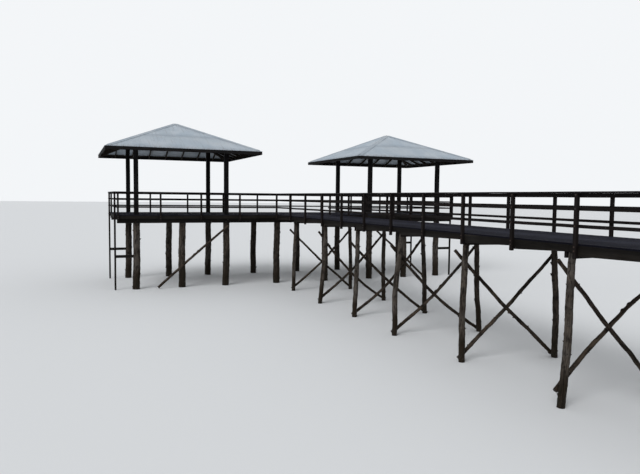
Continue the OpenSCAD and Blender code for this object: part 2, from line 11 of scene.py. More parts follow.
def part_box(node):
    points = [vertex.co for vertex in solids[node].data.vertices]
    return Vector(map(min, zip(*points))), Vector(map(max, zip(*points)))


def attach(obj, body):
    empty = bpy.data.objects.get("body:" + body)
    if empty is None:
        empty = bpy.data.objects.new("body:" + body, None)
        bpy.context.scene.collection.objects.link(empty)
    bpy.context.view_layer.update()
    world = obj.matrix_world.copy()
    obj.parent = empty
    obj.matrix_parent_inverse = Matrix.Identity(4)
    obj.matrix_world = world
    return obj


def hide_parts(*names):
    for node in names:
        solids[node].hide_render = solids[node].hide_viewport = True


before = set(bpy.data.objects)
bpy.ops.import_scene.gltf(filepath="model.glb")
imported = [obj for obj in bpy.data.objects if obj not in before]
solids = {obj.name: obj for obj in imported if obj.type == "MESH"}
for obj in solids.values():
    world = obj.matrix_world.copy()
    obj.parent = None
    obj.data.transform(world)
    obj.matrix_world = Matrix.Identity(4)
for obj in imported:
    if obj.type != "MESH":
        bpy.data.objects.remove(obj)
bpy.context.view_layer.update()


# View and stage. The eye stands beside the shore end, a little over the deck,
# as in the photograph, and looks out along the near railing. The floor lies
# where the piles stand, pale under soft light.
PHOTO_W = 640
FOCAL_PX = 600
SENSOR_MM = 36
SIGHT = 2000
EYE = Vector((19.693, -10.831, 4.323))
TURN = math.radians(22.48)
DIP = math.radians(3.766)
ROLL = math.radians(0.623)
WORLD_LIGHT = 0.62
KEY_LIGHT = 1.5
KEY_WIDTH = math.radians(35)
KEY_TURN = (math.radians(48), 0, math.radians(35))
LIGHT_COLOUR = (0.97, 0.985, 1.0)
SKY_COLOUR = (0.90, 0.92, 0.94)
FLOOR_COLOUR = (0.72, 0.735, 0.75)
FLOOR_HALF = 400
UP = Vector((0, 0, 1))
scene = bpy.context.scene


def put(name, data):
    """A new object in the scene."""
    made = bpy.data.objects.new(name, data)
    scene.collection.objects.link(made)
    return made


def drawn(name, points, edges=(), faces=(), **values):
    """A mesh object from lists, with its named numbers or vectors for each point."""
    mesh = bpy.data.meshes.new(name)
    mesh.from_pydata([tuple(p) for p in points], edges, faces)
    for key, listed in values.items():
        if np.ndim(listed) == 1:
            mesh.attributes.new(key, "FLOAT", "POINT").data.foreach_set("value", listed)
        else:
            mesh.attributes.new(key, "FLOAT_VECTOR", "POINT").data.foreach_set("vector", np.ravel(listed))
    return put(name, mesh)


class Value:
    """A number, vector, colour or shape that a node gives. Sums of values become nodes."""

    def __init__(self, socket):
        self.socket = socket
        self.tree = socket.id_data

    def also(self, name):
        """Another output of the same node."""
        return Value(self.socket.node.outputs[name])

    def into(self, kind, **more):
        """What a Geometry Nodes node makes of this shape."""
        return place(self.tree, "GeometryNode" + kind, self, **more)

    def tagged(self, name, value, kind="FLOAT", domain="POINT"):
        """This shape with a value kept on it under a name."""
        return self.into("StoreNamedAttribute", Name=name, Value=value, data_type=kind, domain=domain)

    def scaled(self, factor):
        """This vector made longer or shorter by a number."""
        return place(self.tree, "ShaderNodeVectorMath", self, Scale=factor, operation="SCALE")

    def maths(self, operation, *others):
        """What a maths node makes of this and other values."""
        kind = "ShaderNodeMath" if self.socket.type in ("VALUE", "INT") else "ShaderNodeVectorMath"
        return place(self.tree, kind, self, *others, operation=operation)

    def __add__(self, other):
        return self.maths("ADD", other)

    def __sub__(self, other):
        return self.maths("SUBTRACT", other)

    def __rsub__(self, number):
        return place(self.tree, "ShaderNodeMath", number, self, operation="SUBTRACT")

    def __mul__(self, other):
        return self.maths("MULTIPLY", other)

    def __truediv__(self, other):
        return self.maths("DIVIDE", other)

    def __abs__(self):
        return self.maths("ABSOLUTE")


def place(tree, kind, *values, take=0, **more):
    """One output of a new node in a tree.

    Values are set or linked to its inputs in their order, or by name where the
    name has a capital. Names in small letters are settings of the node.
    """
    made = tree.nodes.new(kind)
    inputs = dict(enumerate(values))
    for key, value in more.items():
        if key[0].isupper():
            inputs[key.replace("_", " ")] = value
        else:
            setattr(made, key, value)
    for key, given in inputs.items():
        for value in given if isinstance(given, list) else [given]:
            if isinstance(value, Value):
                tree.links.new(value.socket, made.inputs[key])
            elif value is not None:
                colour = made.inputs[key].type == "RGBA"
                made.inputs[key].default_value = (*value, 1) if colour else value
    return Value(made.outputs[take]) if made.outputs else None


def new_material(name):
    """A material with an empty tree."""
    made = bpy.data.materials.new(name)
    made.use_nodes = True
    made.node_tree.nodes.clear()
    return made, made.node_tree


ahead = Vector((-math.cos(TURN) * math.cos(DIP), math.sin(TURN) * math.cos(DIP), -math.sin(DIP)))
level = ahead.cross(UP).normalized()
upright = level.cross(ahead)
across = level * math.cos(ROLL) + upright * math.sin(ROLL)
above = upright * math.cos(ROLL) - level * math.sin(ROLL)
camera = put("camera", bpy.data.cameras.new("camera"))
camera.data.sensor_width = SENSOR_MM
camera.data.lens = SENSOR_MM * FOCAL_PX / PHOTO_W
camera.data.clip_end = SIGHT
camera.matrix_world = Matrix.Translation(EYE) @ Matrix((across, above, -ahead)).transposed().to_4x4()
scene.camera = camera
scene.view_settings.view_transform = "Standard"

world = bpy.data.worlds.new("studio")
world.use_nodes = True
world.node_tree.nodes.clear()
scene.world = world
ray = place(world.node_tree, "ShaderNodeLightPath", take="Is Camera Ray")
direct = ray.maths("MAXIMUM", ray.also("Is Glossy Ray")).maths("MAXIMUM", ray.also("Is Transmission Ray"))
glow = place(world.node_tree, "ShaderNodeBackground", LIGHT_COLOUR, WORLD_LIGHT)
backdrop = place(world.node_tree, "ShaderNodeBackground", SKY_COLOUR, 1.0)
shown = place(world.node_tree, "ShaderNodeMixShader", direct, glow, backdrop)
place(world.node_tree, "ShaderNodeOutputWorld", shown)

key_light = put("key_light", bpy.data.lights.new("key_light", "SUN"))
key_light.data.energy = KEY_LIGHT
key_light.data.angle = KEY_WIDTH
key_light.rotation_euler = KEY_TURN

floor_corners = [(x * FLOOR_HALF, y * FLOOR_HALF, 0) for x, y in ((-1, -1), (1, -1), (1, 1), (-1, 1))]
floor = drawn("floor", floor_corners, faces=[(0, 1, 2, 3)])
floor_paint, tree = new_material("floor_paint")
matt = {"Base_Color": FLOOR_COLOUR, "Roughness": 0.9, "Specular_IOR_Level": 0.1}
place(tree, "ShaderNodeOutputMaterial", place(tree, "ShaderNodeBsdfPrincipled", **matt))
floor.data.materials.append(floor_paint)


# Piles. Each bent stands on two crooked round poles, peeled by hand, that lean
# outwards at their feet. The wood is grey from the sun above the tide and
# stained brown below it, with knots and long drying cracks. The far row of piles
# is painted darker than the near row, as painted shade of the deck over it.
LOG_SIDES = 12
SAME_CORNER = 0.0002
POLE_SHIFT = 40.0
KNOT_SPACING = 3.2
KNOT_REACH = 0.24
PIN_KNOT_SPACING = 8.5
PIN_KNOT_REACH = 0.17
SWAYS_PER_M = 1.3
FURROWS = 1.3
STUB_SIDES = 7
STUB_RISE = 0.55
STUB_APART = 0.17
STUB_SIZES = (0.45, 1.25)
TONE_SPREAD = 0.3


def merged_copy(name):
    """A CAD node's mesh as a bmesh, with its doubled corners merged."""
    shell = bmesh.new()
    shell.from_mesh(solids[name].data)
    bmesh.ops.remove_doubles(shell, verts=shell.verts, dist=SAME_CORNER)
    return shell


def connected(shell):
    """The corners of each separate solid in a bmesh, from its first corner on."""
    left = set(shell.verts)
    for start in list(shell.verts):
        if start not in left:
            continue
        left.discard(start)
        part, still_open = [start], [start]
        while still_open:
            for edge in still_open.pop().link_edges:
                for other in edge.verts:
                    if other in left:
                        left.discard(other)
                        part.append(other)
                        still_open.append(other)
        yield part


def loose_parts(*names):
    """The separate solids of CAD nodes, each as an array of its merged corners."""
    parts = []
    for name in names:
        shell = merged_copy(name)
        parts += [np.array([v.co[:] for v in part]) for part in connected(shell)]
        shell.free()
    return parts


def long_axis(corners):
    """The direction in which a solid is longest."""
    return np.linalg.svd(corners - corners.mean(0))[2][0]


def log_rings(corners):
    """Centre and radius of each ring of corners along a log, from its lower end."""
    axis = long_axis(corners)
    if axis[2] < 0:
        axis = -axis
    rings = corners[np.argsort(corners @ axis)].reshape(-1, LOG_SIDES, 3)
    centres = rings.mean(1)
    return centres, np.linalg.norm(rings - centres[:, None], axis=2).mean(1)


def new_tree(name, outputs=None, **inputs):
    """An empty shader group and its inputs, or without named outputs a Geometry Nodes tree."""
    tree = bpy.data.node_groups.new(name, "ShaderNodeTree" if outputs else "GeometryNodeTree")
    for in_out, sockets in (("OUTPUT", outputs or {"Geometry": "Geometry"}), ("INPUT", inputs)):
        for key, holds in sockets.items():
            label = key.replace("_", " ")
            tree.interface.new_socket(label, in_out=in_out, socket_type="NodeSocket" + holds)
    given = tree.nodes.new("NodeGroupInput")
    return tree, *(Value(socket) for socket in given.outputs if socket.name)


def named(tree, name, kind="FLOAT"):
    """An attribute in a Geometry Nodes tree."""
    return place(tree, "GeometryNodeInputNamedAttribute", name, take="Attribute", data_type=kind)


def lot(tree, low, high, seed):
    """A number drawn by lot for each point or instance."""
    return place(tree, "FunctionNodeRandomValue", None, None, low, high, Seed=seed, take=1, data_type="FLOAT")


def vector(tree, x=0.0, y=0.0, z=0.0):
    """A vector of three numbers or values."""
    return place(tree, "ShaderNodeCombineXYZ", x, y, z)


def split(value):
    """The three parts of a vector."""
    x = place(value.tree, "ShaderNodeSeparateXYZ", value)
    return x, x.also("Y"), x.also("Z")


def ramp(value, low, high, to_low=0.0, to_high=1.0, curve="SMOOTHSTEP"):
    """A value taken from one range to another, held at both ends."""
    ends = (low, high, to_low, to_high)
    return place(value.tree, "ShaderNodeMapRange", value, *ends, interpolation_type=curve)


def noise(where, stretch, detail=3.0, roughness=0.55, distortion=0.0):
    """Smooth noise, finer along each axis where stretch is larger."""
    return place(
        where.tree, "ShaderNodeTexNoise", where * stretch, Scale=1.0, Detail=detail, Roughness=roughness,
        Distortion=distortion,
    )


def cells(where, per_m):
    """Distance to the nearest of points strewn so many to the metre."""
    return place(where.tree, "ShaderNodeTexVoronoi", where * ((per_m,) * 3), Scale=1.0)


def end_tree(shape, material):
    """Ends a Geometry Nodes tree, with its instances made real and in their material."""
    shape = shape.into("RealizeInstances").into("SetMaterial", Material=material)
    place(shape.tree, "NodeGroupOutput", shape)
    return shape.tree


def make_stub(tree):
    """The stump of a branch in the log tree, flared at its foot and ragged."""
    cone = {"Side_Segments": 3, "Radius_Top": 0.55, "Radius_Bottom": 0.8, "Depth": 1.5}
    cone = place(tree, "GeometryNodeMeshCone", STUB_SIDES, **cone)
    spot = place(tree, "GeometryNodeInputPosition")
    flare = ramp(split(spot)[2], 0.0, 0.7, 1.9, 1.0)
    ragged = place(tree, "ShaderNodeTexNoise", spot, Scale=2.2, take="Color")
    ragged = (ragged - (0.5, 0.5, 0.9)).scaled(0.7)
    return cone.into("SetPosition", Position=spot * vector(tree, flare, flare, 1.0) + ragged)


def make_log_tree():
    """Geometry Nodes: a natural pole along each centre line."""
    tree, lines, sides, step, wander, lumps, ridges, knots, stub_size, stubs_per_m2, seed, wood = new_tree(
        "natural_log", Lines="Geometry", Sides="Int", Step="Float", Wander="Float", Lumps="Float",
        Ridges="Float", Knots="Float", Stub_Size="Float", Stubs_per_m2="Float", Seed="Int", Wood="Material",
    )
    girth, along, shift = named(tree, "girth"), named(tree, "along"), named(tree, "tone") * POLE_SHIFT
    line = lines.into("MeshToCurve").into("CurveSplineType", spline_type="CATMULL_ROM")
    line = line.into("ResampleCurve", Length=step, mode="LENGTH")
    line = line.tagged("along", place(tree, "GeometryNodeSplineParameter", take="Length"))
    spot = vector(tree, x=shift, z=along * SWAYS_PER_M)
    sway = place(tree, "ShaderNodeTexNoise", spot, Scale=1.0, Detail=1.0, take="Color")
    line = line.into("SetPosition", Offset=((sway - (0.5, 0.5, 0.5)) * (1, 1, 0)).scaled(wander))

    profile = place(tree, "GeometryNodeCurvePrimitiveCircle", Resolution=sides, Radius=1.0)
    profile = profile.tagged("ring", place(tree, "GeometryNodeInputPosition"), "FLOAT_VECTOR")
    skin = line.into("CurveToMesh", Profile_Curve=profile, Scale=girth)
    ring, grain = named(tree, "ring", "FLOAT_VECTOR"), named(tree, "grain", "FLOAT_VECTOR")
    skin = skin.tagged("grain", ring.scaled(girth) + vector(tree, z=along + shift), "FLOAT_VECTOR")
    lump = noise(grain, (9, 9, 4.6), roughness=0.5) - 0.5
    furrow = ring * (2.1, 2.1, 0) + grain * (0, 0, 0.55)
    furrow = noise(furrow, (FURROWS,) * 3, detail=2.0, roughness=0.5) - 0.5
    swell = lump * lumps + furrow * ridges + ramp(cells(grain, KNOT_SPACING), KNOT_REACH, 0.02) * knots
    skin = skin.into("SetPosition", Offset=place(tree, "GeometryNodeInputNormal").scaled(swell))

    spots = skin.into(
        "DistributePointsOnFaces", Distance_Min=STUB_APART, Density_Max=stubs_per_m2, Seed=seed,
        distribute_method="POISSON",
    )
    outwards = spots.also("Normal") + (0, 0, STUB_RISE)
    outwards = place(tree, "FunctionNodeAlignRotationToVector", Vector=outwards, axis="Z")
    size = lot(tree, *STUB_SIZES, seed) * stub_size
    stubs = spots.into("InstanceOnPoints", Instance=make_stub(tree), Rotation=outwards, Scale=size)
    return end_tree(place(tree, "GeometryNodeJoinGeometry", [stubs, skin]).into("SetShadeSmooth"), wood)


def mesh_piece(name, mesh, material):
    """A mesh put in the scene, in one material."""
    mesh.name = name
    mesh.materials.clear()
    mesh.materials.append(material)
    return put(name, mesh)


def grown(carrier, tree, name, thick=0.0, **values):
    """What a Geometry Nodes tree makes of an object, as a plain mesh object."""
    modifier = carrier.modifiers.new("grow", "NODES")
    modifier.node_group = tree
    for item in tree.interface.items_tree:
        wanted = item.name.replace(" ", "_")
        if item.item_type == "SOCKET" and item.in_out == "INPUT" and wanted in values:
            modifier[item.identifier] = values[wanted]
    if thick:
        wall = carrier.modifiers.new("wall", "SOLIDIFY")
        wall.thickness, wall.offset = thick, 0
    graph = bpy.context.evaluated_depsgraph_get()
    evaluated = carrier.evaluated_get(graph)
    mesh = bpy.data.meshes.new_from_object(evaluated, preserve_all_data_layers=True, depsgraph=graph)
    made = mesh_piece(name, mesh, next(m for m in mesh.materials if m))
    mesh.polygons.foreach_set("material_index", [0] * len(mesh.polygons))
    bpy.data.objects.remove(carrier)
    return made


def declare(piece, slot, *nodes):
    """Attaches a finished piece to the root body and hides the CAD nodes it replaces; the slot is not used.
    """
    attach(piece, "root")
    if nodes:
        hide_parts(*nodes)


def close_ends(poles, rim):
    """Closes the ends of poles with a sawn face, its edge taken off by rim, none below the floor."""
    shell = bmesh.new()
    shell.from_mesh(poles.data)
    ring = shell.verts.layers.float_vector["ring"]
    end = shell.verts.layers.float.new("end")
    caps = bmesh.ops.holes_fill(shell, edges=[e for e in shell.edges if e.is_boundary], sides=0)["faces"]
    bmesh.ops.inset_individual(shell, faces=caps, thickness=rim, depth=0, use_even_offset=True)
    for vert in (v for cap in caps for v in cap.verts):
        vert[end] = 1.0
    for centre in bmesh.ops.poke(shell, faces=caps)["verts"]:
        centre[ring] = Vector((0, 0, 0))
        centre[end] = 1.0
    for vert in shell.verts:
        vert.co.z = max(vert.co.z, 0.0)
    bmesh.ops.recalc_face_normals(shell, faces=shell.faces)
    shell.to_mesh(poles.data)
    shell.free()


def round_poles(name, slot, nodes, seed, rim, near_foot_tone=None, **shape):
    """CAD nodes of round poles, replaced by natural ones with sawn ends.

    The tone of a pole is drawn by lot, or raised where its foot is on the near side. On the
    piles this raise is painted light: near piles paler, far piles darker as painted shade of the deck.
    """
    chance = random.Random(seed)
    points, edges, girth, tones = [], [], [], []
    for corners in loose_parts(*nodes):
        centres, radii = log_rings(corners)
        tone = chance.random()
        if near_foot_tone is not None:
            # On the piles this raise is painted light: near piles paler, far piles darker as painted shade of
            # the deck.
            tone = tone * TONE_SPREAD + (near_foot_tone if centres[0][1] < 0 else 0.0)
        edges += [(k, k + 1) for k in range(len(points), len(points) + len(centres) - 1)]
        points += list(centres)
        girth += list(radii)
        tones += [tone] * len(centres)
    lines = drawn("centre_lines", points, edges, girth=girth, tone=tones)
    poles = grown(lines, log_tree, name, Seed=seed + 1, Wood=woods[slot], **shape)
    close_ends(poles, rim)
    declare(poles, slot, *nodes)


def blend(share, first, second):
    """Two colours mixed by a share. The node takes colours at its seventh and eighth inputs."""
    return place(share.tree, "ShaderNodeMix", share, *[None] * 5, first, second, take=2, data_type="RGBA")


def dim(colour, share):
    """A darker shade of a colour."""
    return tuple(share * c for c in colour)


def attribute(tree, name, take="Fac"):
    """An attribute in a material."""
    return place(tree, "ShaderNodeAttribute", take=take, attribute_name=name, attribute_type="GEOMETRY")


def make_wood_figure():
    """Shader group: grain, drying cracks and relief along the grain of a timber."""
    tree, grain, fineness, cracking = new_tree(
        "wood_figure", {"Figure": "Float", "Cracks": "Float", "Height": "Float"}, Grain="Vector",
        Fineness="Float", Cracking="Float",
    )
    grain = grain.scaled(fineness)
    streak = noise(grain, (46, 46, 1.6), detail=5.0, roughness=0.62, distortion=0.3)
    fine = noise(grain, (190, 190, 5))
    patch = noise(grain, (5, 5, 1.2), detail=2.0)
    figure = ramp(streak * 0.55 + fine * 0.25 + patch * 0.2, 0.32, 0.68)
    line = abs(noise(grain, (22, 22, 0.8), distortion=0.6) - 0.5)
    opened = ramp(noise(grain, (7, 7, 0.9), detail=1.0), 0.42, 0.6)
    crack = ramp(line, 0.022, 0.002) * opened * cracking
    place(tree, "NodeGroupOutput", figure, crack, figure * 0.35 - crack)
    return tree


def make_weathering():
    """Shader group: sun-greyed faces and dark damp patches over a wood colour."""
    tree, colour, spot, grey, greying, damp, damping = new_tree(
        "weathering", {"Color": "Color", "Dampness": "Float"}, Color="Color", Place="Vector", Grey="Color",
        Greying="Float", Damp="Color", Damping="Float",
    )
    greyed = ramp(noise(spot, (1.1, 1.1, 1.7), detail=4.0, roughness=0.6), 0.35, 0.68) * greying
    wet = ramp(noise(spot, (3.1, 3.1, 2.2), detail=5.0, roughness=0.66), 0.5, 0.72) * damping
    place(tree, "NodeGroupOutput", blend(wet, blend(greyed, colour, grey), damp), wet)
    return tree


def make_tide_marks():
    """Shader group: what the tide leaves on a pile, from its foot upwards."""
    tree, colour, spot, stain, film, shell, top = new_tree(
        "tide_marks", {"Color": "Color", "Wet": "Float", "Crust": "Float"}, Color="Color", Place="Vector",
        Stain="Color", Film="Color", Shell="Color", Top="Float",
    )
    ragged = noise(spot, (4, 4, 1.3), detail=4.0, roughness=0.65)
    share = (split(spot)[2] + (ragged - 0.5) * 1.1) / top
    stained = ramp(share, 1.25, 0.55)
    tuft = noise(spot, (16, 16, 6), detail=4.0, roughness=0.7)
    weedy = ramp(tuft, 0.5, 0.62) * ramp(share, 0.85, 0.5)
    crusted = ramp(cells(spot, 62), 0.42, 0.18) * ramp(share, 0.5, 0.25) * ramp(ragged, 0.44, 0.56)
    colour = blend(weedy * 0.75, blend(stained, colour, stain), film)
    place(tree, "NodeGroupOutput", blend(crusted * 0.6, colour, shell), stained, crusted)
    return tree


def grouped(tree, shared, **inputs):
    """The first output of a shader group placed in a material."""
    return place(tree, "ShaderNodeGroup", node_tree=shared, **inputs)


def shaded(colour, roughness, height, bump, specular=0.08, strength=0.85, metallic=0.0):
    """Ends a material with its surface and its relief."""
    relief = place(colour.tree, "ShaderNodeBump", Height=height, Strength=strength, Distance=bump)
    surface = place(
        colour.tree, "ShaderNodeBsdfPrincipled", colour, Roughness=roughness, Specular_IOR_Level=specular,
        Metallic=metallic, Normal=relief,
    )
    place(colour.tree, "ShaderNodeOutputMaterial", surface)


log_tree = make_log_tree()
wood_figure = make_wood_figure()
weathering = make_weathering()
tide_marks = make_tide_marks()
woods = {}


def log_wood(slot, name, dark, pale, grey, greying, stain, tide_top, peeled):
    """Round wood with its bark off, its knots where the log tree swells."""
    woods[slot], tree = new_material(name)
    grain, ring = attribute(tree, "grain", "Vector"), attribute(tree, "ring", "Vector")
    tone, spot = attribute(tree, "tone"), place(tree, "ShaderNodeTexCoord", take="Object")
    figure = grouped(tree, wood_figure, Grain=grain, Fineness=0.75, Cracking=1.0)
    # A higher tone makes a pole paler and greyer, so on the piles it carries painted light: near piles paler,
    # far piles darker as painted shade of the deck.
    colour = blend(tone * peeled, blend(figure, dark, pale), pale)
    mottle = ramp(noise(grain, (6.5, 6.5, 3.6), roughness=0.6), 0.40, 0.62)
    colour = blend(mottle * 0.55, colour, dim(dark, 0.8))
    colour = grouped(
        tree, weathering, Color=colour, Place=spot, Grey=grey,
        Greying=ramp(tone, 0.0, 0.8, 0.15, 1.0) * greying, Damp=dim(dark, 0.45), Damping=0.55,
    )
    knot = ramp(cells(grain, KNOT_SPACING), KNOT_REACH * 0.8, 0.03)
    pin_knot = ramp(cells(grain, PIN_KNOT_SPACING), PIN_KNOT_REACH, PIN_KNOT_REACH * 0.6)
    colour = blend(knot.maths("MAXIMUM", pin_knot) * 0.75, colour, dim(dark, 0.35))
    bark = ramp(noise(grain, (15, 15, 4.2), detail=5.0, roughness=0.62), 0.53, 0.58)
    colour = blend(bark * 0.7, colour, dim(dark, 0.6))
    tide = grouped(
        tree, tide_marks, Color=colour, Place=spot, Stain=stain, Film=(0.007, 0.008, 0.004),
        Shell=(0.10, 0.092, 0.08), Top=tide_top,
    )
    colour = blend(figure.also("Cracks") * 0.85, tide, dim(dark, 0.16))
    width = place(tree, "ShaderNodeVectorMath", ring, take="Value", operation="LENGTH")
    year_rings = ramp((width * 55.0).maths("SINE"), -0.6, 1.0)
    check = ramp(abs(noise(ring, (7, 7, 7), detail=2.0) - 0.5), 0.03, 0.004)
    cut = blend(check, blend(year_rings, dim(dark, 0.8), pale), dim(dark, 0.2))
    colour = blend(attribute(tree, "end"), colour, cut)
    height = figure.also("Height") + bark * 0.5 + tide.also("Crust") * 1.4
    shaded(colour, ramp(tide.also("Wet"), 0.0, 1.0, 0.88, 0.55, "LINEAR") + figure * -0.08, height, 0.006)


PILE_NODES = sorted(n for n in solids if n.startswith("piles_bent"))
log_wood(
    "pile_wood", "weathered_pile", dark=(0.0085, 0.0072, 0.0064), pale=(0.084, 0.067, 0.053),
    grey=(0.086, 0.077, 0.069), greying=0.8, stain=(0.0175, 0.0122, 0.0078), tide_top=0.85, peeled=0.6,
)
# near_foot_tone paints light on the piles: the near row paler, the far row darker as painted shade of the
# deck above it.
round_poles(
    "piles", "pile_wood", PILE_NODES, seed=11, rim=0.006, near_foot_tone=0.6, Sides=26, Step=0.028,
    Wander=0.036, Lumps=0.036, Ridges=0.015, Knots=0.019, Stub_Size=0.027, Stubs_per_m2=5.0,
)


# Braces. Thinner poles, two to a bent, cross between the piles on their sea
# side. They were cut green, some keep strips of bark, and each is bolted to
# the piles it passes, with its end left long.
BRACE_NODES = sorted(n for n in solids if n.startswith("braces_bent"))
log_wood(
    "brace_wood", "weathered_brace", dark=(0.0070, 0.0056, 0.0048), pale=(0.075, 0.056, 0.041),
    grey=(0.038, 0.036, 0.035), greying=0.35, stain=(0.026, 0.0180, 0.0115), tide_top=0.5, peeled=0.85,
)
round_poles(
    "braces", "brace_wood", BRACE_NODES, seed=23, rim=0.004, near_foot_tone=0.65, Sides=20, Step=0.024,
    Wander=0.056, Lumps=0.027, Ridges=0.008, Knots=0.022, Stub_Size=0.021, Stubs_per_m2=5.0,
)


# Piles and raking braces of the head. The same round wood in larger poles,
# under both beam lines, and one long pole on each arm that runs down beside
# the middle pile.
round_poles(
    "head_piles_round", "pile_wood", ["head_piles"], seed=31, rim=0.008, Sides=32, Step=0.036,
    Wander=0.030, Lumps=0.044, Ridges=0.020, Knots=0.022, Stub_Size=0.030, Stubs_per_m2=3.0,
)
round_poles(
    "raking_poles", "brace_wood", ["raking_braces"], seed=37, rim=0.004, Sides=20, Step=0.028,
    Wander=0.034, Lumps=0.027, Ridges=0.008, Knots=0.020, Stub_Size=0.021, Stubs_per_m2=4.0,
)


# Caps, beams and joists. Rough-sawn hardwood: pairs of caps clamp the pile
# heads, edge beams of one bay each sit on them, and the head has longer pairs
# with joists across. Saw marks, split ends and rounded arrises show. Their
# colours are darkened well below the wood's own, as painted shade.
SQUARE_WITHIN = 0.01
TIMBER_STEP = 0.3
FREE_END = 0.3
SWAY_PITCHES = (1.5, 4.0)
ANY_PHASE = 6.3
ARRIS_SHARES = (0.6, 1.5)
FLAT_ANGLE = math.radians(1)
SHARP_ANGLE = math.radians(20)
TONE_SHARES = (0.37, 0.61, 0.83)
TIMBER_SHIFT = 47.0


def forwards(axis):
    """A direction, turned about where its largest part is negative."""
    return -axis if axis[np.argmax(abs(axis))] < 0 else axis


def squared_timbers(name):
    """Middle, three directions and half sizes of each box in a CAD node, its length first."""
    found = []
    for corners in loose_parts(name):
        sides = corners[1:] - corners[0]
        sides = sides[np.argsort(np.linalg.norm(sides, axis=1))]
        picked = [sides[0]]
        for side in sides[1:]:
            off = [abs(side @ p) / np.linalg.norm(side) / np.linalg.norm(p) for p in picked]
            if len(picked) < 3 and max(off) < SQUARE_WITHIN:
                picked.append(side)
        picked.sort(key=np.linalg.norm, reverse=True)
        half_long, *halves = [np.linalg.norm(p) / 2 for p in picked]
        along, *others = [p / np.linalg.norm(p) for p in picked]
        along = forwards(along)
        if abs(others[0][2]) <= abs(others[1][2]):
            others.reverse()
            halves.reverse()
        up = -others[0] if others[0][2] < 0 else others[0]
        found.append((corners.mean(0), (along, np.cross(up, along), up), (half_long, halves[1], halves[0])))
    return found


def sawn(name, boxes, material, seed, arris, step, wander):
    """Squared timbers as one mesh: worn arrises, slightly uneven faces, sawn ends."""
    chance = random.Random(seed)
    points, faces, grain, section, tones = [], [], [], [], []
    for centre, (along, side, up), (half_long, half_side, half_up) in boxes:
        bays = max(2, round(2 * half_long / step))
        spots = [-half_long, arris - half_long]
        spots += [half_long * (2 * k / bays - 1) for k in range(1, bays)]
        spots += [half_long - arris, half_long]
        tone = chance.random()
        swing = [
            (chance.uniform(-1, 1), chance.uniform(*SWAY_PITCHES), chance.uniform(0, ANY_PHASE))
            for _ in range(4)
        ]
        first, last = len(points), len(spots) - 1
        for k, s in enumerate(spots):
            free = wander * min(1.0, (half_long - abs(s)) / FREE_END)
            sway = [a * math.sin(f * s + p) for a, f, p in swing]
            inset = arris if k in (0, last) else 0.0
            w, h = half_side - inset, half_up - inset
            worn = [arris * chance.uniform(*ARRIS_SHARES) for _ in range(4)]
            outline = [
                (w, h - worn[0]), (w - worn[0], h), (worn[1] - w, h), (-w, h - worn[1]),
                (-w, worn[2] - h), (worn[2] - w, -h), (w - worn[3], -h), (w, worn[3] - h),
            ]
            for x, z in outline:
                aside, raised = x + free * sum(sway[:2]), z + free * sum(sway[2:])
                points.append(centre + along * s + side * aside + up * raised)
                grain.append((x, z, s))
                section.append((x / half_side, z / half_up, float(k in (0, last))))
                tones.append(tone)
        for k in range(last):
            for j in range(8):
                a, b = first + 8 * k + j, first + 8 * k + (j + 1) % 8
                faces.append((a, b, b + 8, a + 8))
        faces.append(tuple(first + 7 - j for j in range(8)))
        faces.append(tuple(first + 8 * last + j for j in range(8)))
    made = drawn(name, points, faces=faces, grain=grain, section=section, tone=tones)
    made.data.materials.append(material)
    return made


def make_arris_wear():
    """Shader group: where the long edges of a squared timber are rubbed or knocked."""
    tree, section, grain, width = new_tree(
        "arris_wear", {"Wear": "Float"}, Section="Vector", Grain="Vector", Width="Float"
    )
    aside, up, _ = split(section)
    near_edge = abs(aside).maths("MINIMUM", abs(up))
    reach = width * ramp(noise(grain, (30, 30, 7), detail=4.0, roughness=0.7), 0.35, 0.75, 0.2, 1.8)
    place(tree, "NodeGroupOutput", ramp(near_edge, 1.0 - reach, 1.0))
    return tree


arris_wear = make_arris_wear()


def sawn_wood(
    slot, name, dark, pale, grey, greying, worn, wear_width=0.10, damping=0.5, saw_marks=0.25, wear_share=0.6,
    bump=0.003, roughness=0.8, variation=0.45, track=0.0, specular=0.08,
):
    """Squared wood with its grain along the timber, paler within a track of its own half width."""
    woods[slot], tree = new_material(name)
    tone, section = attribute(tree, "tone"), attribute(tree, "section", "Vector")
    grain = attribute(tree, "grain", "Vector") + vector(tree, z=tone * TIMBER_SHIFT)
    spot = place(tree, "ShaderNodeTexCoord", take="Object")
    figure = grouped(tree, wood_figure, Grain=grain, Fineness=1.0, Cracking=1.0)
    darker = ramp(tone, 0.0, 1.0, 0.0, variation, "LINEAR")
    colour = blend(darker, blend(figure, dark, pale), dim(dark, 0.55))
    weather = grouped(
        tree, weathering, Color=colour, Place=spot, Grey=grey, Greying=greying, Damp=dim(dark, 0.5),
        Damping=damping,
    )
    wear = grouped(tree, arris_wear, Section=section, Grain=grain, Width=wear_width)
    colour = blend(wear * wear_share, weather, worn)
    if track:
        aside = abs(split(spot)[1]) + noise(spot, (0.7, 2.5, 1))
        colour = blend(ramp(aside, track + 0.6, 0.6) * figure * 0.8, colour, worn)
    colour = blend(figure.also("Cracks") * 0.9, colour, dim(dark, 0.2))
    cut = blend(ramp(noise(grain, (60, 60, 4)), 0.4, 0.6), dim(dark, 0.4), dark)
    colour = blend(ramp(split(section)[2], 0.0, 1.0) * 0.8, colour, cut)
    height = figure.also("Height") + noise(grain, (9, 9, 160), detail=2.0) * saw_marks - wear * 0.3
    gloss = ramp(weather.also("Dampness"), 0.0, 1.0, roughness, roughness - 0.2, "LINEAR")
    shaded(colour, gloss, height, bump, specular)


def sawn_piece(name, slot, node, seed, arris=0.004, wander=0.0012):
    """A CAD node of squared timbers, replaced by the same timbers with sawn faces."""
    boxes = squared_timbers(node)
    declare(sawn(name, boxes, woods[slot], seed, arris, TIMBER_STEP, wander), slot, node)


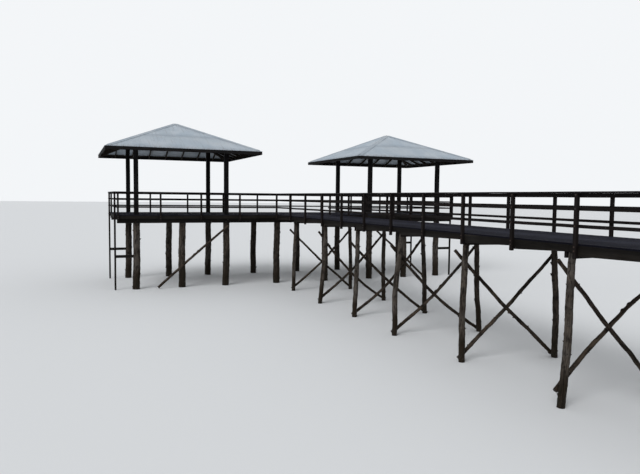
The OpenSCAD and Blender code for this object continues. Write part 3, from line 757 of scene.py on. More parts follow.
def middle_of(corners):
    """The middle of the box round some corners."""
    return (corners.min(0) + corners.max(0)) / 2


def mesh_of(shell):
    """The mesh that a finished bmesh holds."""
    mesh = bpy.data.meshes.new("shell")
    shell.to_mesh(mesh)
    shell.free()
    return mesh


def carved(name, slot, node, arris):
    """A copy of a CAD node whose timbers are notched or planed, with worn arrises."""
    shell = merged_copy(node)
    bmesh.ops.dissolve_limit(shell, angle_limit=FLAT_ANGLE, verts=shell.verts, edges=shell.edges)
    bmesh.ops.recalc_face_normals(shell, faces=shell.faces)
    sharp = [e for e in shell.edges if e.calc_face_angle(0) > SHARP_ANGLE]
    bmesh.ops.bevel(shell, geom=sharp, offset=arris, segments=1, affect="EDGES", profile=0.5)
    grain = shell.verts.layers.float_vector.new("grain")
    section = shell.verts.layers.float_vector.new("section")
    tone = shell.verts.layers.float.new("tone")
    for part in connected(shell):
        corners = np.array([v.co[:] for v in part])
        middle = middle_of(corners)
        along = forwards(long_axis(corners))
        side = np.cross(along, (0.0, 0.0, 1.0))
        side /= np.linalg.norm(side)
        axes = (side, np.cross(side, along), along)
        half_side, half_up, half_long = [np.ptp(corners @ axis) / 2 for axis in axes]
        own_tone = sum(share * spot for share, spot in zip(TONE_SHARES, middle)) % 1.0
        for vert in part:
            x, z, s = [(np.array(vert.co[:]) - middle) @ axis for axis in axes]
            vert[grain] = Vector((x, z, s))
            vert[section] = Vector((x / half_side, z / half_up, float(abs(s) > half_long - 2 * arris)))
            vert[tone] = own_tone
    declare(mesh_piece(name, mesh_of(shell), woods[slot]), slot, node)


# Beam and cap colours are painted shade: far darker than the wood itself, standing in for the shade on the
# structure.
sawn_wood(
    "beam_timber", "sawn_beam", dark=(0.0055, 0.0046, 0.0040), pale=(0.0195, 0.0158, 0.0122),
    grey=(0.0190, 0.0184, 0.0178), greying=0.4, worn=(0.040, 0.034, 0.028),
)
sawn_wood(
    "cap_timber", "sawn_cap", dark=(0.0050, 0.0042, 0.0037), pale=(0.0175, 0.0142, 0.0112),
    grey=(0.0180, 0.0174, 0.0168), greying=0.4, worn=(0.036, 0.031, 0.026),
)
sawn_piece("clamped_caps", "cap_timber", "bent_caps", seed=41)
sawn_piece("stringers", "beam_timber", "inner_beams", seed=42)
sawn_piece("head_clamped_beams", "cap_timber", "head_beams", seed=43, arris=0.006)
sawn_piece("joists", "beam_timber", "head_joists", seed=44)
sawn_piece("edge_boards", "beam_timber", "head_fascia", seed=45)
sawn_piece("landing_rests", "cap_timber", "landing_beams", seed=46)
carved("edge_stringers", "beam_timber", "edge_beams", arris=0.004)


# Deck. Narrow hardwood boards lie across the walkway and along the arms of
# the head, each nailed to every beam it crosses, with a narrow gap between
# them, and are cut round the columns. Feet have worn a paler track. The boards'
# dark blue is painted: a painted reflection of the sky, and partly painted shade.
BOARD_PITCH = 0.1
BOARD_GAP = 0.007
BUTT_GAP = 0.003
COLUMN_GAP = 0.004
LEAST_TONGUE = 0.012
BOARD_LENGTHS = (2.0, 4.4)
LEAST_BOARD = 0.8
LEAST_LEFT = 0.6
END_SLACK = 0.01


def strewn(points, shape, seed, material, **how):
    """Ends a tree with a shape on every point, each with a tone drawn by lot."""
    laid = points.into("InstanceOnPoints", Instance=shape, **how)
    return end_tree(laid.tagged("tone", lot(points.tree, 0.0, 1.0, seed), domain="INSTANCE"), material)


def make_board_tree():
    """Geometry Nodes: a board on every point, each a little out of true."""
    tree, points, board, lift, turn, drift, seed, wood = new_tree(
        "laid_boards", Points="Geometry", Board="Object", Lift="Float", Turn="Float", Drift="Float",
        Seed="Int", Wood="Material",
    )
    board = place(tree, "GeometryNodeObjectInfo", board, take="Geometry")
    drift, lift, turn = [
        lot(tree, most * -1.0, most, seed + extra) for most, extra in ((drift, 1.0), (lift, 2.0), (turn, 3.0))
    ]
    points = points.into("MeshToPoints").into("SetPosition", Offset=vector(tree, y=drift, z=lift))
    scale = vector(tree, named(tree, "width"), named(tree, "stretch"), 1.0)
    return strewn(points, board, seed, wood, Rotation=vector(tree, z=turn), Scale=scale)


def board_rows(low, high):
    """The pitch of the rows of boards in a deck, and their places from its shore end."""
    count = round((high.x - low.x) / BOARD_PITCH)
    pitch = (high.x - low.x) / count
    return pitch, [high.x - pitch * (k + 0.5) for k in range(count)]


def rows_along(axis, centres, digits=4):
    """The different places of some centres along one axis, in their order."""
    return sorted({round(float(centre[axis]), digits) for centre in centres})


board_tree = make_board_tree()
# The deck's blue is a painted reflection of the sky, with the specular kept low in its place; its darkness is
# partly painted shade.
sawn_wood(
    "deck_boards", "worn_deck", dark=(0.0055, 0.0056, 0.0090), pale=(0.0160, 0.0165, 0.0265),
    grey=(0.0195, 0.0204, 0.0325), greying=0.5, worn=(0.033, 0.035, 0.049), wear_width=0.05,
    damping=0.45, saw_marks=0.1, wear_share=0.5, bump=0.002, roughness=0.85, variation=0.8, track=0.8,
    specular=0.03,
)
deck_wood = woods["deck_boards"]
deck_low, deck_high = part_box("walkway_deck")
head_low, head_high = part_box("head_deck")
board_half_x = (BOARD_PITCH - BOARD_GAP) / 2
board_half_y = (deck_high.y - deck_low.y) / 2
board_half_z = (deck_high.z - deck_low.z - BUTT_GAP) / 2
board_mid_z = (deck_high.z + deck_low.z - BUTT_GAP) / 2
blank_axes = (np.array((0.0, 1.0, 0.0)), np.array((-1.0, 0.0, 0.0)), np.array((0.0, 0.0, 1.0)))
blank = [(np.zeros(3), blank_axes, (board_half_y, board_half_x, board_half_z))]
blank = sawn("board_blank", blank, deck_wood, seed=51, arris=0.003, step=0.7, wander=0.0)
_, walk_rows = board_rows(deck_low, deck_high)
whole = [1.0] * len(walk_rows)
points = drawn("walk_points", [(x, 0.0, board_mid_z) for x in walk_rows], stretch=whole, width=whole)
walkway_boards = grown(
    points, board_tree, "walkway_boards",
    Board=blank, Lift=0.0012, Turn=0.0016, Drift=0.006, Seed=52, Wood=deck_wood,
)
declare(walkway_boards, "deck_boards", "walkway_deck")

columns = squared_timbers("shelter_columns")
joists = loose_parts("head_joists", "edge_beams", "inner_beams")
joist_ys = rows_along(1, [corners.mean(0) for corners in joists])
head_pitch, head_rows = board_rows(head_low, head_high)
chance = random.Random(53)
spots, stretches, widths = [], [], []
for x in head_rows:
    cuts = [head_low.y, head_high.y]
    for centre, _, (_, half_x, half_y) in columns:
        off = abs(centre[0] - x) - half_x - COLUMN_GAP
        if off < head_pitch / 2:
            cuts += [centre[1] - half_y - COLUMN_GAP, centre[1] + half_y + COLUMN_GAP]
            tongue = head_pitch / 2 + off - BOARD_GAP / 2
            if tongue > LEAST_TONGUE:
                way = math.copysign(1, x - centre[0])
                spots.append((x + way * (head_pitch - BOARD_GAP - tongue) / 2, centre[1], board_mid_z))
                stretches.append((half_y + COLUMN_GAP - BUTT_GAP / 2) / board_half_y)
                widths.append(tongue / (2 * board_half_x))
    cuts.sort()
    for start, stop in zip(cuts[::2], cuts[1::2]):
        while start < stop - END_SLACK:
            reach = start + chance.uniform(*BOARD_LENGTHS)
            rests = [y for y in joist_ys if start + LEAST_BOARD < y < min(reach, stop - LEAST_LEFT)]
            end = rests[-1] if rests and reach < stop else stop
            spots.append((x, (start + end) / 2, board_mid_z))
            stretches.append((end - start - BUTT_GAP) / (2 * board_half_y))
            widths.append(1.0)
            start = end
head_boards = grown(
    drawn("head_points", spots, stretch=stretches, width=widths), board_tree, "head_boards",
    Board=blank, Lift=0.0012, Turn=0.0008, Drift=0.0, Seed=54, Wood=deck_wood,
)
bpy.data.objects.remove(blank)
declare(head_boards, "deck_boards", "head_deck")


# Railings. Square posts stand outside the edge beams and hang a hand's
# breadth below them; three rails run inside the posts, and a flat board lies
# on top. The wood is stained dark and its colour darkened further as painted
# shade; it is rubbed brown where hands go.
# The rail colour is partly its dark stain and partly painted shade, darker than the stained wood itself.
sawn_wood(
    "rail_timber", "stained_rail", dark=(0.0040, 0.0031, 0.0030), pale=(0.0145, 0.0097, 0.0086),
    grey=(0.0145, 0.0142, 0.0155), greying=0.3, worn=(0.044, 0.031, 0.026), wear_width=0.13,
)
sawn_wood(
    "cap_board", "worn_handrail", dark=(0.0055, 0.0048, 0.0051), pale=(0.0205, 0.0168, 0.0176),
    grey=(0.0260, 0.0268, 0.0305), greying=0.5, worn=(0.050, 0.042, 0.040), wear_width=0.10,
)
RAILINGS = {
    "posts": "walkway_posts",
    "top_rails": "walkway_top_rails",
    "mid_rails": "walkway_mid_rails",
    "low_rails": "walkway_low_rails",
    "handrail_boards": "walkway_cap_boards",
    "head_rail_posts": "head_posts",
    "head_rails_top": "head_top_rails",
    "head_rails_mid": "head_mid_rails",
    "head_rails_low": "head_low_rails",
    "head_handrail_boards": "head_cap_boards",
    "long_landing_posts": "landing_posts",
}
for number, (name, node) in enumerate(RAILINGS.items()):
    slot = "cap_board" if "cap" in node else "rail_timber"
    sawn_piece(name, slot, node, seed=61 + number, arris=0.005, wander=0.0016)


# Shelters. Four stout columns rise through the deck from the head's beams and
# carry a frame of plates. Hip and jack rafters are notched over it, battens
# ring them, and dark boards close the eaves.
sawn_wood(
    "column_timber", "stained_column", dark=(0.0045, 0.0041, 0.0043), pale=(0.0148, 0.0130, 0.0134),
    grey=(0.0182, 0.0185, 0.0195), greying=0.35, worn=(0.040, 0.035, 0.033), wear_width=0.07,
)
sawn_wood(
    "rafter_timber", "sawn_rafter", dark=(0.020, 0.0150, 0.0112), pale=(0.064, 0.048, 0.0345),
    grey=(0.055, 0.0500, 0.0455), greying=0.3, worn=(0.090, 0.072, 0.055), wear_width=0.08,
)
sawn_piece("columns", "column_timber", "shelter_columns", seed=81, arris=0.008)
sawn_piece("plates", "column_timber", "wall_plates", seed=82, arris=0.006)
sawn_piece("eaves", "column_timber", "eave_boards", seed=83)
carved("hips", "rafter_timber", "hip_rafters", arris=0.003)
carved("jack_rafters", "rafter_timber", "common_rafters", arris=0.003)
carved("battens", "rafter_timber", "purlins", arris=0.002)


# Roofs. Ribbed steel sheets in a pale paint, gone chalky and streaked, lie
# on the battens with their ribs down the slope. They lap at their sides and
# half-way up the slope.
RIB_PITCH = 0.076
RIB_STEPS = 8
RIBS_PER_SHEET = 10
STEEL = 0.0012
LAP = 0.14
SEAT_GAP = 0.003
EDGE_GAP = 0.002
LAP_ROOM = 1.3
LEAST_SHEET = 0.004
TIE_BREAK = 0.01
APEX_REACH = 0.1


def roof_metal(name, paint, chalk, rust, dirt):
    """Painted steel sheet: chalked paint, rain streaks and rust at laps and edges."""
    made, tree = new_material(name)
    spot = place(tree, "ShaderNodeTexCoord", take="Object")
    slope = attribute(tree, "slope", "Vector")
    colour = blend(ramp(noise(spot, (0.9, 0.9, 0.9), detail=4.0, roughness=0.6), 0.35, 0.7), paint, chalk)
    colour = blend(attribute(tree, "tone") * 0.3, colour, dim(paint, 0.75))
    run = noise(slope, (11, 0.55, 1), detail=4.0, roughness=0.65)
    colour = blend(ramp(run, 0.52, 0.74) * 0.55, colour, dirt)
    spotty = noise(spot, (9, 9, 9), detail=5.0, roughness=0.7)
    rusted = ramp(spotty, 0.60, 0.72) * ramp(run, 0.45, 0.65, 0.25, 1.0)
    rusted = rusted.maths("MAXIMUM", ramp(split(slope)[1], 0.45, 0.02) * ramp(spotty, 0.5, 0.62))
    colour = blend(rusted * 0.5, colour, rust)
    grime = noise(spot, (40, 40, 40))
    shaded(colour, ramp(grime, 0.3, 0.7, 0.42, 0.62), (grime + rusted * 0.8) * 0.5, 0.0012, specular=0.4)
    return made


def make_sheet_tree():
    """Geometry Nodes: the ribbed sheets of each slope, cut along the hips."""
    tree, slopes, half, run, rib_pitch, rib_depth, sheets, lap, steel, angle, metal = new_tree(
        "ribbed_sheets", Slopes="Geometry", Half="Float", Run="Float", Rib_Pitch="Float", Rib_Depth="Float",
        Sheets="Int", Lap="Float", Steel="Float", Angle="Float", Metal="Material",
    )
    spot = place(tree, "GeometryNodeInputPosition")
    x, y, _ = split(spot)
    cover = half * 2.0 / sheets
    count = (RIBS_PER_SHEET + 1) * RIB_STEPS + 1
    sheet = place(tree, "GeometryNodeMeshGrid", Size_X=cover, Size_Y=1.0, Vertices_X=count, Vertices_Y=4)
    sheet = sheet.tagged("slope", vector(tree, x / cover, y + 0.5), "FLOAT_VECTOR")
    start, offset = vector(tree, cover * 0.5 - half), vector(tree, cover)
    courses = []
    for course in (1.0, 0.0):
        row = place(tree, "GeometryNodeMeshLine", Count=sheets, Start_Location=start, Offset=offset)
        row = row.into("InstanceOnPoints", Instance=sheet)
        row = row.tagged("tone", lot(tree, 0.0, 1.0, 5 + int(course)), domain="INSTANCE")
        courses.append(row.tagged("course", course, domain="INSTANCE"))
    laid = place(tree, "GeometryNodeJoinGeometry", courses).into("RealizeInstances")

    share_aside, share_up, _ = split(named(tree, "slope", "FLOAT_VECTOR"))
    course, middle = named(tree, "course"), run * 0.5
    low = course * (middle - lap)
    at_hip = (half - abs(x)) / half * run
    tall = at_hip.maths("MINIMUM", middle + course * middle) - low
    up = low + share_up * tall.maths("MAXIMUM", 0.0)
    wave = (x * (2 * math.pi) / rib_pitch).maths("COSINE") * rib_depth
    lift = ((0.5 - share_aside) * steel + course * steel) * LAP_ROOM
    gone = place(tree, "FunctionNodeCompare", tall, LEAST_SHEET, data_type="FLOAT", operation="LESS_THAN")
    laid = laid.into("DeleteGeometry", Selection=gone, domain="POINT")
    laid = laid.into("SetPosition", Position=vector(tree, x, up, wave * 0.5 + (lift - SEAT_GAP)))
    laid = laid.tagged("slope", spot, "FLOAT_VECTOR")
    tilt = vector(tree, x=angle, z=named(tree, "turn"))
    return end_tree(slopes.into("InstanceOnPoints", Instance=laid, Rotation=tilt), metal)


chalky_sheet = roof_metal(
    "chalky_sheet", paint=(0.335, 0.395, 0.455), chalk=(0.43, 0.475, 0.52), rust=(0.12, 0.060, 0.032),
    dirt=(0.165, 0.175, 0.18),
)
column_xs, column_ys = [rows_along(axis, [column[0] for column in columns]) for axis in (0, 1)]
shelter_x = sum(column_xs) / len(column_xs)
shelter_ys = [(column_ys[0] + column_ys[1]) / 2, (column_ys[2] + column_ys[3]) / 2]
one_slope = max(loose_parts("roof_sheets"), key=lambda c: c[:, 0].min())
eave_end = one_slope[np.argmin(one_slope[:, 2] + TIE_BREAK * one_slope[:, 1])]
apex = one_slope[one_slope[:, 2] > one_slope[:, 2].max() - APEX_REACH]
apex = apex[np.argmin(apex[:, 2])]
roof_half = abs(eave_end[0] - shelter_x)
roof_angle = math.atan2(apex[2] - eave_end[2], roof_half)
sheet_deep = (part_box("roof_sheets")[1].z - apex[2]) * math.cos(roof_angle)

slope_feet, slope_frames, slope_turns = [], [], []
for middle_y in shelter_ys:
    for k in range(4):
        turn = Matrix.Rotation(math.pi / 2 * k, 3, "Z")
        tilted = turn @ Matrix.Rotation(roof_angle, 3, "X")
        foot = Vector((shelter_x, middle_y, float(eave_end[2]))) + turn @ Vector((0, -roof_half, 0))
        slope_feet.append(foot + tilted @ Vector((0, 0, sheet_deep / 2)))
        slope_frames.append(tilted)
        slope_turns.append(math.pi / 2 * k)
roof_sheets = grown(
    drawn("slope_feet", slope_feet, turn=slope_turns), make_sheet_tree(), "ribbed_roof_sheets", thick=STEEL,
    Half=roof_half - EDGE_GAP, Run=roof_half / math.cos(roof_angle) - 2 * EDGE_GAP, Rib_Pitch=RIB_PITCH,
    Rib_Depth=sheet_deep - 2 * STEEL - SEAT_GAP, Sheets=round(2 * roof_half / (RIBS_PER_SHEET * RIB_PITCH)),
    Lap=LAP, Steel=STEEL, Angle=roof_angle, Metal=chalky_sheet,
)
roof_sheets.data.shade_smooth()
declare(roof_sheets, "roof_sheet", "roof_sheets")


# Hip cappings. Strips of thin flat steel, folded over each hip with a rolled
# bead along the fold and their edges turned down. They lap down the hip and
# are screwed through the ribs, and a dished plate covers each peak.
CAPPING = 0.001
BEAD = 0.009
BEAD_TURNS = (0, 28, 56, 84)
BEAD_BASE = 0.2
BEAD_TALL = 0.85
FLAT_STEPS = (0.014, 0.045, 0.085)
HEM = 0.007
HEM_START = 0.018
HEM_ROUND = 0.002
LENGTH_PITCH = 1.72
CAPPING_LAP = 0.12
CAPPING_STEP = 0.12
LAP_LIFT = 0.0016
DENT = 0.0009
DENT_START = 0.05
DENTS_UP = 7.3
DENTS_ASIDE = 31
PEAK_START = 0.14
PEAK_HALF = 0.19
PEAK_STEPS = 26
PEAK_SOFT = 0.006
PEAK_SEAT = 0.0045
PEAK_RIDGE = 0.010
PEAK_RIDGE_WIDTH = 0.016
PEAK_RIDGE_START = 0.1
PEAK_EDGE = 0.001
PEAK_GAP = 0.002
SCREW_FIRST = 0.12
SCREW_PITCH = 0.42
SCREW_LAST = 0.2
SCREW_INSET = 0.035
EAVE_REACH = 0.08
FOLD_WITHIN = 0.002
hip_slope = math.atan(math.tan(roof_angle) / math.sqrt(2))
wing_drop = math.tan(math.asin(math.sin(roof_angle) / math.sqrt(2)))
caps_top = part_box("hip_caps")[1].z


def capping_half(wing, lift):
    """Half of a capping's section, as offsets sideways and up from the fold."""
    turns = [math.radians(v) for v in BEAD_TURNS]
    bead = [(BEAD * math.sin(a), lift + BEAD * (BEAD_BASE + BEAD_TALL * math.cos(a))) for a in turns]
    flat = [(w, lift - wing_drop * w) for w in (*FLAT_STEPS, wing - HEM_START)]
    drop = lift - wing_drop * wing
    return bead + flat + [(wing - HEM_ROUND, drop + HEM_ROUND / 2), (wing, drop - HEM)]


def corner(shell, spot, slope, tone):
    """A corner of sheet steel, with the values that its paint reads."""
    vert = shell.verts.new(spot)
    vert[shell.verts.layers.float_vector["slope"]] = Vector((*slope, 0))
    vert[shell.verts.layers.float["tone"]] = tone
    return vert


def join_rows(shell, rows, order):
    """Faces between rows of corners, each with its four corners in an order."""
    for low, high in zip(rows, rows[1:]):
        for square in zip(low, low[1:], high[1:], high):
            shell.faces.new([square[k] for k in order])


def lay_capping(shell, hip, start, stop, lift_low, lift_high, chance):
    """One length of capping, between two distances up the hip from its eave end."""
    fold, wing, aside, up_hip, off_roof = hip
    count = max(2, round((stop - start) / CAPPING_STEP))
    phase, tone = chance.uniform(0, ANY_PHASE), chance.random()
    rows = []
    for k in range(count + 1):
        s = start + (stop - start) * k / count
        half = capping_half(wing, lift_low + (lift_high - lift_low) * k / count)
        row = []
        for w, h in [(-w, h) for w, h in reversed(half[1:])] + half:
            dent = math.sin(DENTS_UP * s + DENTS_ASIDE * w + phase)
            dent = DENT * dent * min(1.0, abs(w) / DENT_START)
            spot = fold + up_hip * s + aside * w + off_roof * (h + dent)
            row.append(corner(shell, spot, (w, s), tone))
        rows.append(row)
    join_rows(shell, rows, (0, 1, 2, 3))


def lay_peak(shell, centre, peak_z):
    """The plate over a peak, pressed down on the four hips with a flat middle."""
    room = caps_top - PEAK_GAP - peak_z
    spots = [PEAK_HALF * (2 * k / PEAK_STEPS - 1) for k in range(PEAK_STEPS + 1)]
    rows = []
    for x in spots:
        row = []
        for y in spots:
            reach = max(abs(x), abs(y))
            off_hip = abs(abs(x) - abs(y)) / math.sqrt(2)
            over_bead = PEAK_RIDGE * math.exp(-((off_hip / PEAK_RIDGE_WIDTH) ** 2))
            over_bead *= min(1.0, reach / PEAK_RIDGE_START)
            rise = PEAK_SEAT + over_bead - math.tan(roof_angle) * reach
            if reach > PEAK_HALF - PEAK_EDGE:
                rise -= HEM
            rise = -PEAK_SOFT * math.log(math.exp(-rise / PEAK_SOFT) + math.exp(-room / PEAK_SOFT))
            row.append(corner(shell, (centre[0] + x, centre[1] + y, peak_z + rise), (x, y), 0.5))
        rows.append(row)
    join_rows(shell, rows, (0, 3, 2, 1))


shell = bmesh.new()
shell.verts.layers.float_vector.new("slope")
shell.verts.layers.float.new("tone")
chance = random.Random(91)
screw_spots, screw_facings = [], []
for corners in loose_parts("hip_caps"):
    centre = middle_of(corners)
    for k in range(4):
        turn = math.pi / 4 + math.pi / 2 * k
        out = np.array((math.cos(turn), math.sin(turn), 0.0))
        aside = np.array((-math.sin(turn), math.cos(turn), 0.0))
        up_hip = np.array((*(-out[:2] * math.cos(hip_slope)), math.sin(hip_slope)))
        off_roof = np.array((*(out[:2] * math.sin(hip_slope)), math.cos(hip_slope)))
        reach = (corners - centre) @ out
        end = corners[reach > reach.max() - EAVE_REACH]
        offset = np.abs((end - centre) @ aside)
        fold = end[offset < FOLD_WITHIN]
        fold = fold[np.argmin(fold[:, 2])]
        hip = (fold, offset.max(), aside, up_hip, off_roof)
        hip_run = (fold - centre) @ out
        stop = hip_run / math.cos(hip_slope) - PEAK_START
        lengths = math.ceil(stop / LENGTH_PITCH)
        for n in range(lengths):
            low = stop * n / lengths - (CAPPING_LAP if n else 0.0)
            raised = CAPPING + (LAP_LIFT if n else 0.0)
            lay_capping(shell, hip, low, stop * (n + 1) / lengths, raised, CAPPING, chance)
        wing = offset.max() - SCREW_INSET
        for n in range(round((stop - SCREW_LAST) / SCREW_PITCH)):
            for side in (-1, 1):
                spot = fold + up_hip * (SCREW_FIRST + SCREW_PITCH * n) + aside * side * wing
                screw_spots.append(spot + off_roof * (CAPPING * 1.5 - wing_drop * wing))
                screw_facings.append(off_roof + aside * side * wing_drop)
    lay_peak(shell, centre, fold[2] + hip_run * math.tan(hip_slope))
capping_mesh = mesh_of(shell)
capping_mesh.shade_smooth()
capping_metal = roof_metal(
    "capping_metal", paint=(0.30, 0.355, 0.41), chalk=(0.40, 0.44, 0.48), rust=(0.11, 0.055, 0.030),
    dirt=(0.155, 0.165, 0.17),
)
cappings = mesh_piece("hip_cappings", capping_mesh, capping_metal)
wall = cappings.modifiers.new("wall", "SOLIDIFY")
wall.thickness, wall.offset = CAPPING, -1
declare(cappings, "roof_sheet", "hip_caps")


# Fixings. Screws with washers hold the roof sheets to their battens at every
# third rib. Galvanised bolts with washers, gone brown, hold the braces, caps,
# beams and posts, each with its nut outwards. Nails hold the boards.
SCREWED_RIBS = 3
BATTEN_END = 0.16
CREST_INSET = 0.002
SUNK = 0.001
NAIL_DEEP = 0.003
NAIL_PROUD = 0.0008
NAIL_ASIDE = 0.024
NAIL_SPIN = 6.28
NAIL_STRAY_X = 0.005
NAIL_STRAY_Y = 0.008
POST_NAIL_X = 0.02
POST_NAIL_Y = 0.018
FACE_REACH = 0.4
BOARD_REACH = 0.03
BOLT_REACH = 0.3
BOLT_STEPS = 160
CLAMP_REACH = 0.35


def make_fixing_tree():
    """Geometry Nodes: a washer, a hexagon and an end of rod on every point."""
    tree, points, sides, washer, washer_deep, nut, nut_deep, rod, rod_deep, seed, metal = new_tree(
        "fixings", Points="Geometry", Washer_Sides="Int", Washer="Float", Washer_Deep="Float", Nut="Float",
        Nut_Deep="Float", Rod="Float", Rod_Deep="Float", Seed="Int", Metal="Material",
    )
    stack, below = [], 0.0
    for count, radius, deep in ((sides, washer, washer_deep), (6, nut, nut_deep), (7, rod, rod_deep)):
        disc = place(tree, "GeometryNodeMeshCylinder", count, Radius=radius, Depth=deep)
        stack.append(disc.into("Transform", Translation=vector(tree, z=deep * 0.5 + below)))
        below = deep + below
    facing = named(tree, "facing", "FLOAT_VECTOR")
    facing = place(tree, "FunctionNodeAlignRotationToVector", Vector=facing, axis="Z")
    spin = lot(tree, 0.0, 2 * math.pi, seed)
    spin = place(tree, "FunctionNodeAxisAngleToRotation", (0, 0, 1), spin)
    facing = place(tree, "FunctionNodeRotateRotation", facing, spin, rotation_space="LOCAL")
    stack = place(tree, "GeometryNodeJoinGeometry", stack)
    return strewn(points.into("MeshToPoints"), stack, seed + 1.0, metal, Rotation=facing)


def make_nail_tree():
    """Geometry Nodes: a hammered nail head on every point, facing up."""
    tree, points, head, seed, metal = new_tree(
        "nail_heads", Points="Geometry", Head="Float", Seed="Int", Metal="Material"
    )
    cone = {"Radius_Top": head * 0.8, "Radius_Bottom": head, "Depth": NAIL_DEEP}
    cone = place(tree, "GeometryNodeMeshCone", 6, **cone)
    spin = vector(tree, z=lot(tree, 0.0, NAIL_SPIN, seed))
    return strewn(points.into("MeshToPoints"), cone, seed + 1.0, metal, Rotation=spin)


def fixing_metal(name, zinc, rust, rusting):
    """Galvanised steel, dull grey where the zinc holds and brown where it has gone."""
    made, tree = new_material(name)
    spot = place(tree, "ShaderNodeTexCoord", take="Object")
    eaten = noise(spot, (70, 70, 70), detail=4.0) + attribute(tree, "tone") * 0.35
    rusted = ramp(eaten, rusting, rusting + 0.22)
    flake = noise(spot, (260, 260, 260))
    colour = blend(rusted, zinc, blend(flake, dim(rust, 0.5), rust))
    roughness, metallic = ramp(rusted, 0.0, 1.0, 0.5, 0.85), ramp(rusted, 0.0, 1.0, 0.75, 0.0)
    shaded(colour, roughness, flake + rusted, 0.0006, specular=0.5, strength=0.7, metallic=metallic)
    return made


zinc_rust = fixing_metal(
    "zinc_and_rust", zinc=(0.070, 0.072, 0.075), rust=(0.040, 0.021, 0.013), rusting=0.42
)
screw_steel = fixing_metal("screw_steel", zinc=(0.30, 0.31, 0.32), rust=(0.12, 0.058, 0.030), rusting=0.62)
fixing_tree = make_fixing_tree()

batten_halves = {}
for corners in loose_parts("purlins"):
    middle = middle_of(corners)
    shelter_y = min(shelter_ys, key=lambda y: abs(y - middle[1]))
    out = max(abs(middle[0] - shelter_x), abs(middle[1] - shelter_y))
    batten_halves[round(float(out), 3)] = float(np.ptp(corners, axis=0).max()) / 2
crest = sheet_deep / 2 - STEEL - CREST_INSET
screw_gap = SCREWED_RIBS * RIB_PITCH
for foot, tilted in zip(slope_feet, slope_frames):
    for out, half_long in batten_halves.items():
        up = (roof_half - out) / math.cos(roof_angle)
        count = int((half_long - BATTEN_END) / screw_gap)
        for n in range(-count, count + 1):
            screw_spots.append(foot + tilted @ Vector((n * screw_gap, up, crest)))
            screw_facings.append(tilted @ UP)
screws = grown(
    drawn("screw_points", screw_spots, facing=screw_facings), fixing_tree, "roof_screws",
    Washer_Sides=10, Washer=0.0085, Washer_Deep=0.0018, Nut=0.0046, Nut_Deep=0.0032, Rod=0.003,
    Rod_Deep=0.0004, Seed=92, Metal=screw_steel,
)
declare(screws, "roof_sheet")

surfaces = {}
bolt_spots, bolt_facings = [], []


def on_surface(piece_name, near, facing, reach=FACE_REACH):
    """Where a ray back along facing meets a piece, sunk a little."""
    if piece_name not in surfaces:
        mesh = bpy.data.objects[piece_name].data
        surfaces[piece_name] = BVHTree.FromPolygons(
            [v.co for v in mesh.vertices], [tuple(p.vertices) for p in mesh.polygons]
        )
    hit = surfaces[piece_name].ray_cast(Vector(near) + facing * reach, -facing, 2 * reach)[0]
    return None if hit is None else hit - facing * SUNK


def add_bolt(piece_name, near, facing):
    """A bolt where a ray back along facing meets a piece."""
    facing = Vector(facing).normalized()
    hit = on_surface(piece_name, near, facing)
    if hit is not None:
        bolt_spots.append(hit)
        bolt_facings.append(facing)


def centres_of(*nodes):
    """The centre lines of the logs of some CAD nodes."""
    return [log_rings(corners)[0] for corners in loose_parts(*nodes)]


def bolt_through(first, first_piece, second, second_piece):
    """A bolt through two logs where their centre lines come nearest, nuts at both ends."""
    z = np.linspace(max(first[0][2], second[0][2]), min(first[-1][2], second[-1][2]), BOLT_STEPS)
    here, there = [
        np.array([np.interp(z, log[:, 2], log[:, axis]) for axis in range(3)]).T for log in (first, second)
    ]
    apart = np.linalg.norm(here - there, axis=1)
    nearest = np.argmin(apart)
    if apart[nearest] < BOLT_REACH:
        out = (here - there)[nearest] * np.array((1.0, 1.0, 0.0))
        add_bolt(first_piece, here[nearest], out)
        add_bolt(second_piece, there[nearest], -out)


def bolt_pair(piece_name, middle, facing, half_gap, slant=0.0):
    """Two bolts in one face, one over the other or aslant."""
    aside = UP.cross(Vector(facing)).normalized()
    for way in (-1, 1):
        add_bolt(piece_name, Vector(middle) + Vector((0, 0, way * half_gap)) + aside * way * slant, facing)


def clamped(node, piece_name, uprights, half_gap, slant):
    """Bolts through a pair of timbers and each upright between them."""
    boxes = squared_timbers(node)
    for centre, (along, side, _), (half_long, _, _) in boxes:
        others = (box[0] for box in boxes if box[0] is not centre)
        partner = min(others, key=lambda c: np.linalg.norm(c - centre))
        out = side * np.sign((centre - partner) @ side)
        for upright in uprights:
            reach = (upright - centre) @ along
            if abs(reach) < half_long and abs((upright - centre) @ side) < CLAMP_REACH:
                bolt_pair(piece_name, centre + along * reach, out, half_gap, slant)


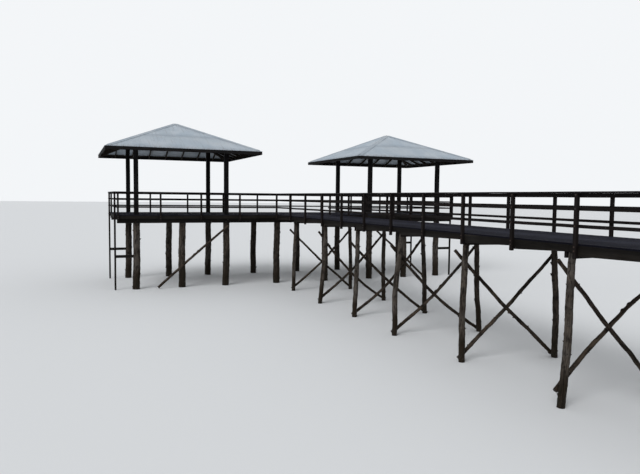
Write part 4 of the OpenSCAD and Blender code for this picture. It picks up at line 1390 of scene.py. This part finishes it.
for pile_node, brace_node in zip(PILE_NODES, BRACE_NODES):
    bent_braces = centres_of(brace_node)
    for brace in bent_braces:
        for pile in centres_of(pile_node):
            bolt_through(brace, "braces", pile, "piles")
    bolt_through(bent_braces[0], "braces", bent_braces[1], "braces")
for raker in centres_of("raking_braces"):
    for pile in centres_of("head_piles"):
        bolt_through(raker, "raking_poles", pile, "head_piles_round")
clamped("bent_caps", "clamped_caps", [c[-1] for c in centres_of(*PILE_NODES)], half_gap=0.030, slant=0.028)
clamped("head_beams", "head_clamped_beams", [c[0] for c in columns], half_gap=0.050, slant=0.045)
beam_z, *rail_zs = [
    sum(v.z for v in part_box(node)) / 2
    for node in ("inner_beams", "walkway_top_rails", "walkway_mid_rails", "walkway_low_rails")
]
for piece_name in ("posts", "head_rail_posts", "long_landing_posts"):
    for centre, _, _ in squared_timbers(RAILINGS[piece_name]):
        out = (0.0, math.copysign(1, centre[1]), 0.0)
        if piece_name == "head_rail_posts":
            out = (math.copysign(1, centre[0] - shelter_x), 0.0, 0.0)
        bolt_pair(piece_name, (*centre[:2], beam_z), out, half_gap=0.042)
        for rail_z in rail_zs:
            add_bolt(piece_name, (*centre[:2], rail_z), out)
bolts = grown(
    drawn("bolt_points", bolt_spots, facing=bolt_facings), fixing_tree, "coach_bolts",
    Washer_Sides=12, Washer=0.019, Washer_Deep=0.004, Nut=0.0115, Nut_Deep=0.009, Rod=0.006, Rod_Deep=0.007,
    Seed=93, Metal=zinc_rust,
)
declare(bolts, "cap_timber")

chance = random.Random(95)
nails = []


def nail(piece_name, x, y, top_z):
    """A nail near a place, where a board is found there."""
    x += chance.uniform(-NAIL_STRAY_X, NAIL_STRAY_X)
    y += chance.uniform(-NAIL_STRAY_Y, NAIL_STRAY_Y)
    hit = on_surface(piece_name, (x, y, top_z), UP, BOARD_REACH)
    if hit is not None:
        nails.append((hit.x, hit.y, hit.z + NAIL_PROUD))


walk_beams = loose_parts("edge_beams", "inner_beams")
walk_beam_ys = rows_along(1, [corners.mean(0) for corners in walk_beams], digits=2)
for piece_name, rows, beam_ys, top_z in (
    ("walkway_boards", walk_rows, walk_beam_ys, deck_high.z),
    ("head_boards", head_rows, joist_ys, head_high.z),
):
    for x in rows:
        for y in beam_ys:
            for way in (-1, 1):
                nail(piece_name, x + way * NAIL_ASIDE, y, top_z)
for post_piece, piece_name in (("posts", "handrail_boards"), ("head_rail_posts", "head_handrail_boards")):
    top_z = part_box(RAILINGS[piece_name])[1].z
    for centre, _, _ in squared_timbers(RAILINGS[post_piece]):
        for way in (-1, 1):
            nail(piece_name, centre[0] + way * POST_NAIL_X, centre[1] + way * POST_NAIL_Y, top_z)
nail_heads = grown(
    drawn("nail_points", nails), make_nail_tree(), "nail_heads", Head=0.0048, Seed=96, Metal=zinc_rust
)
declare(nail_heads, "cap_timber")
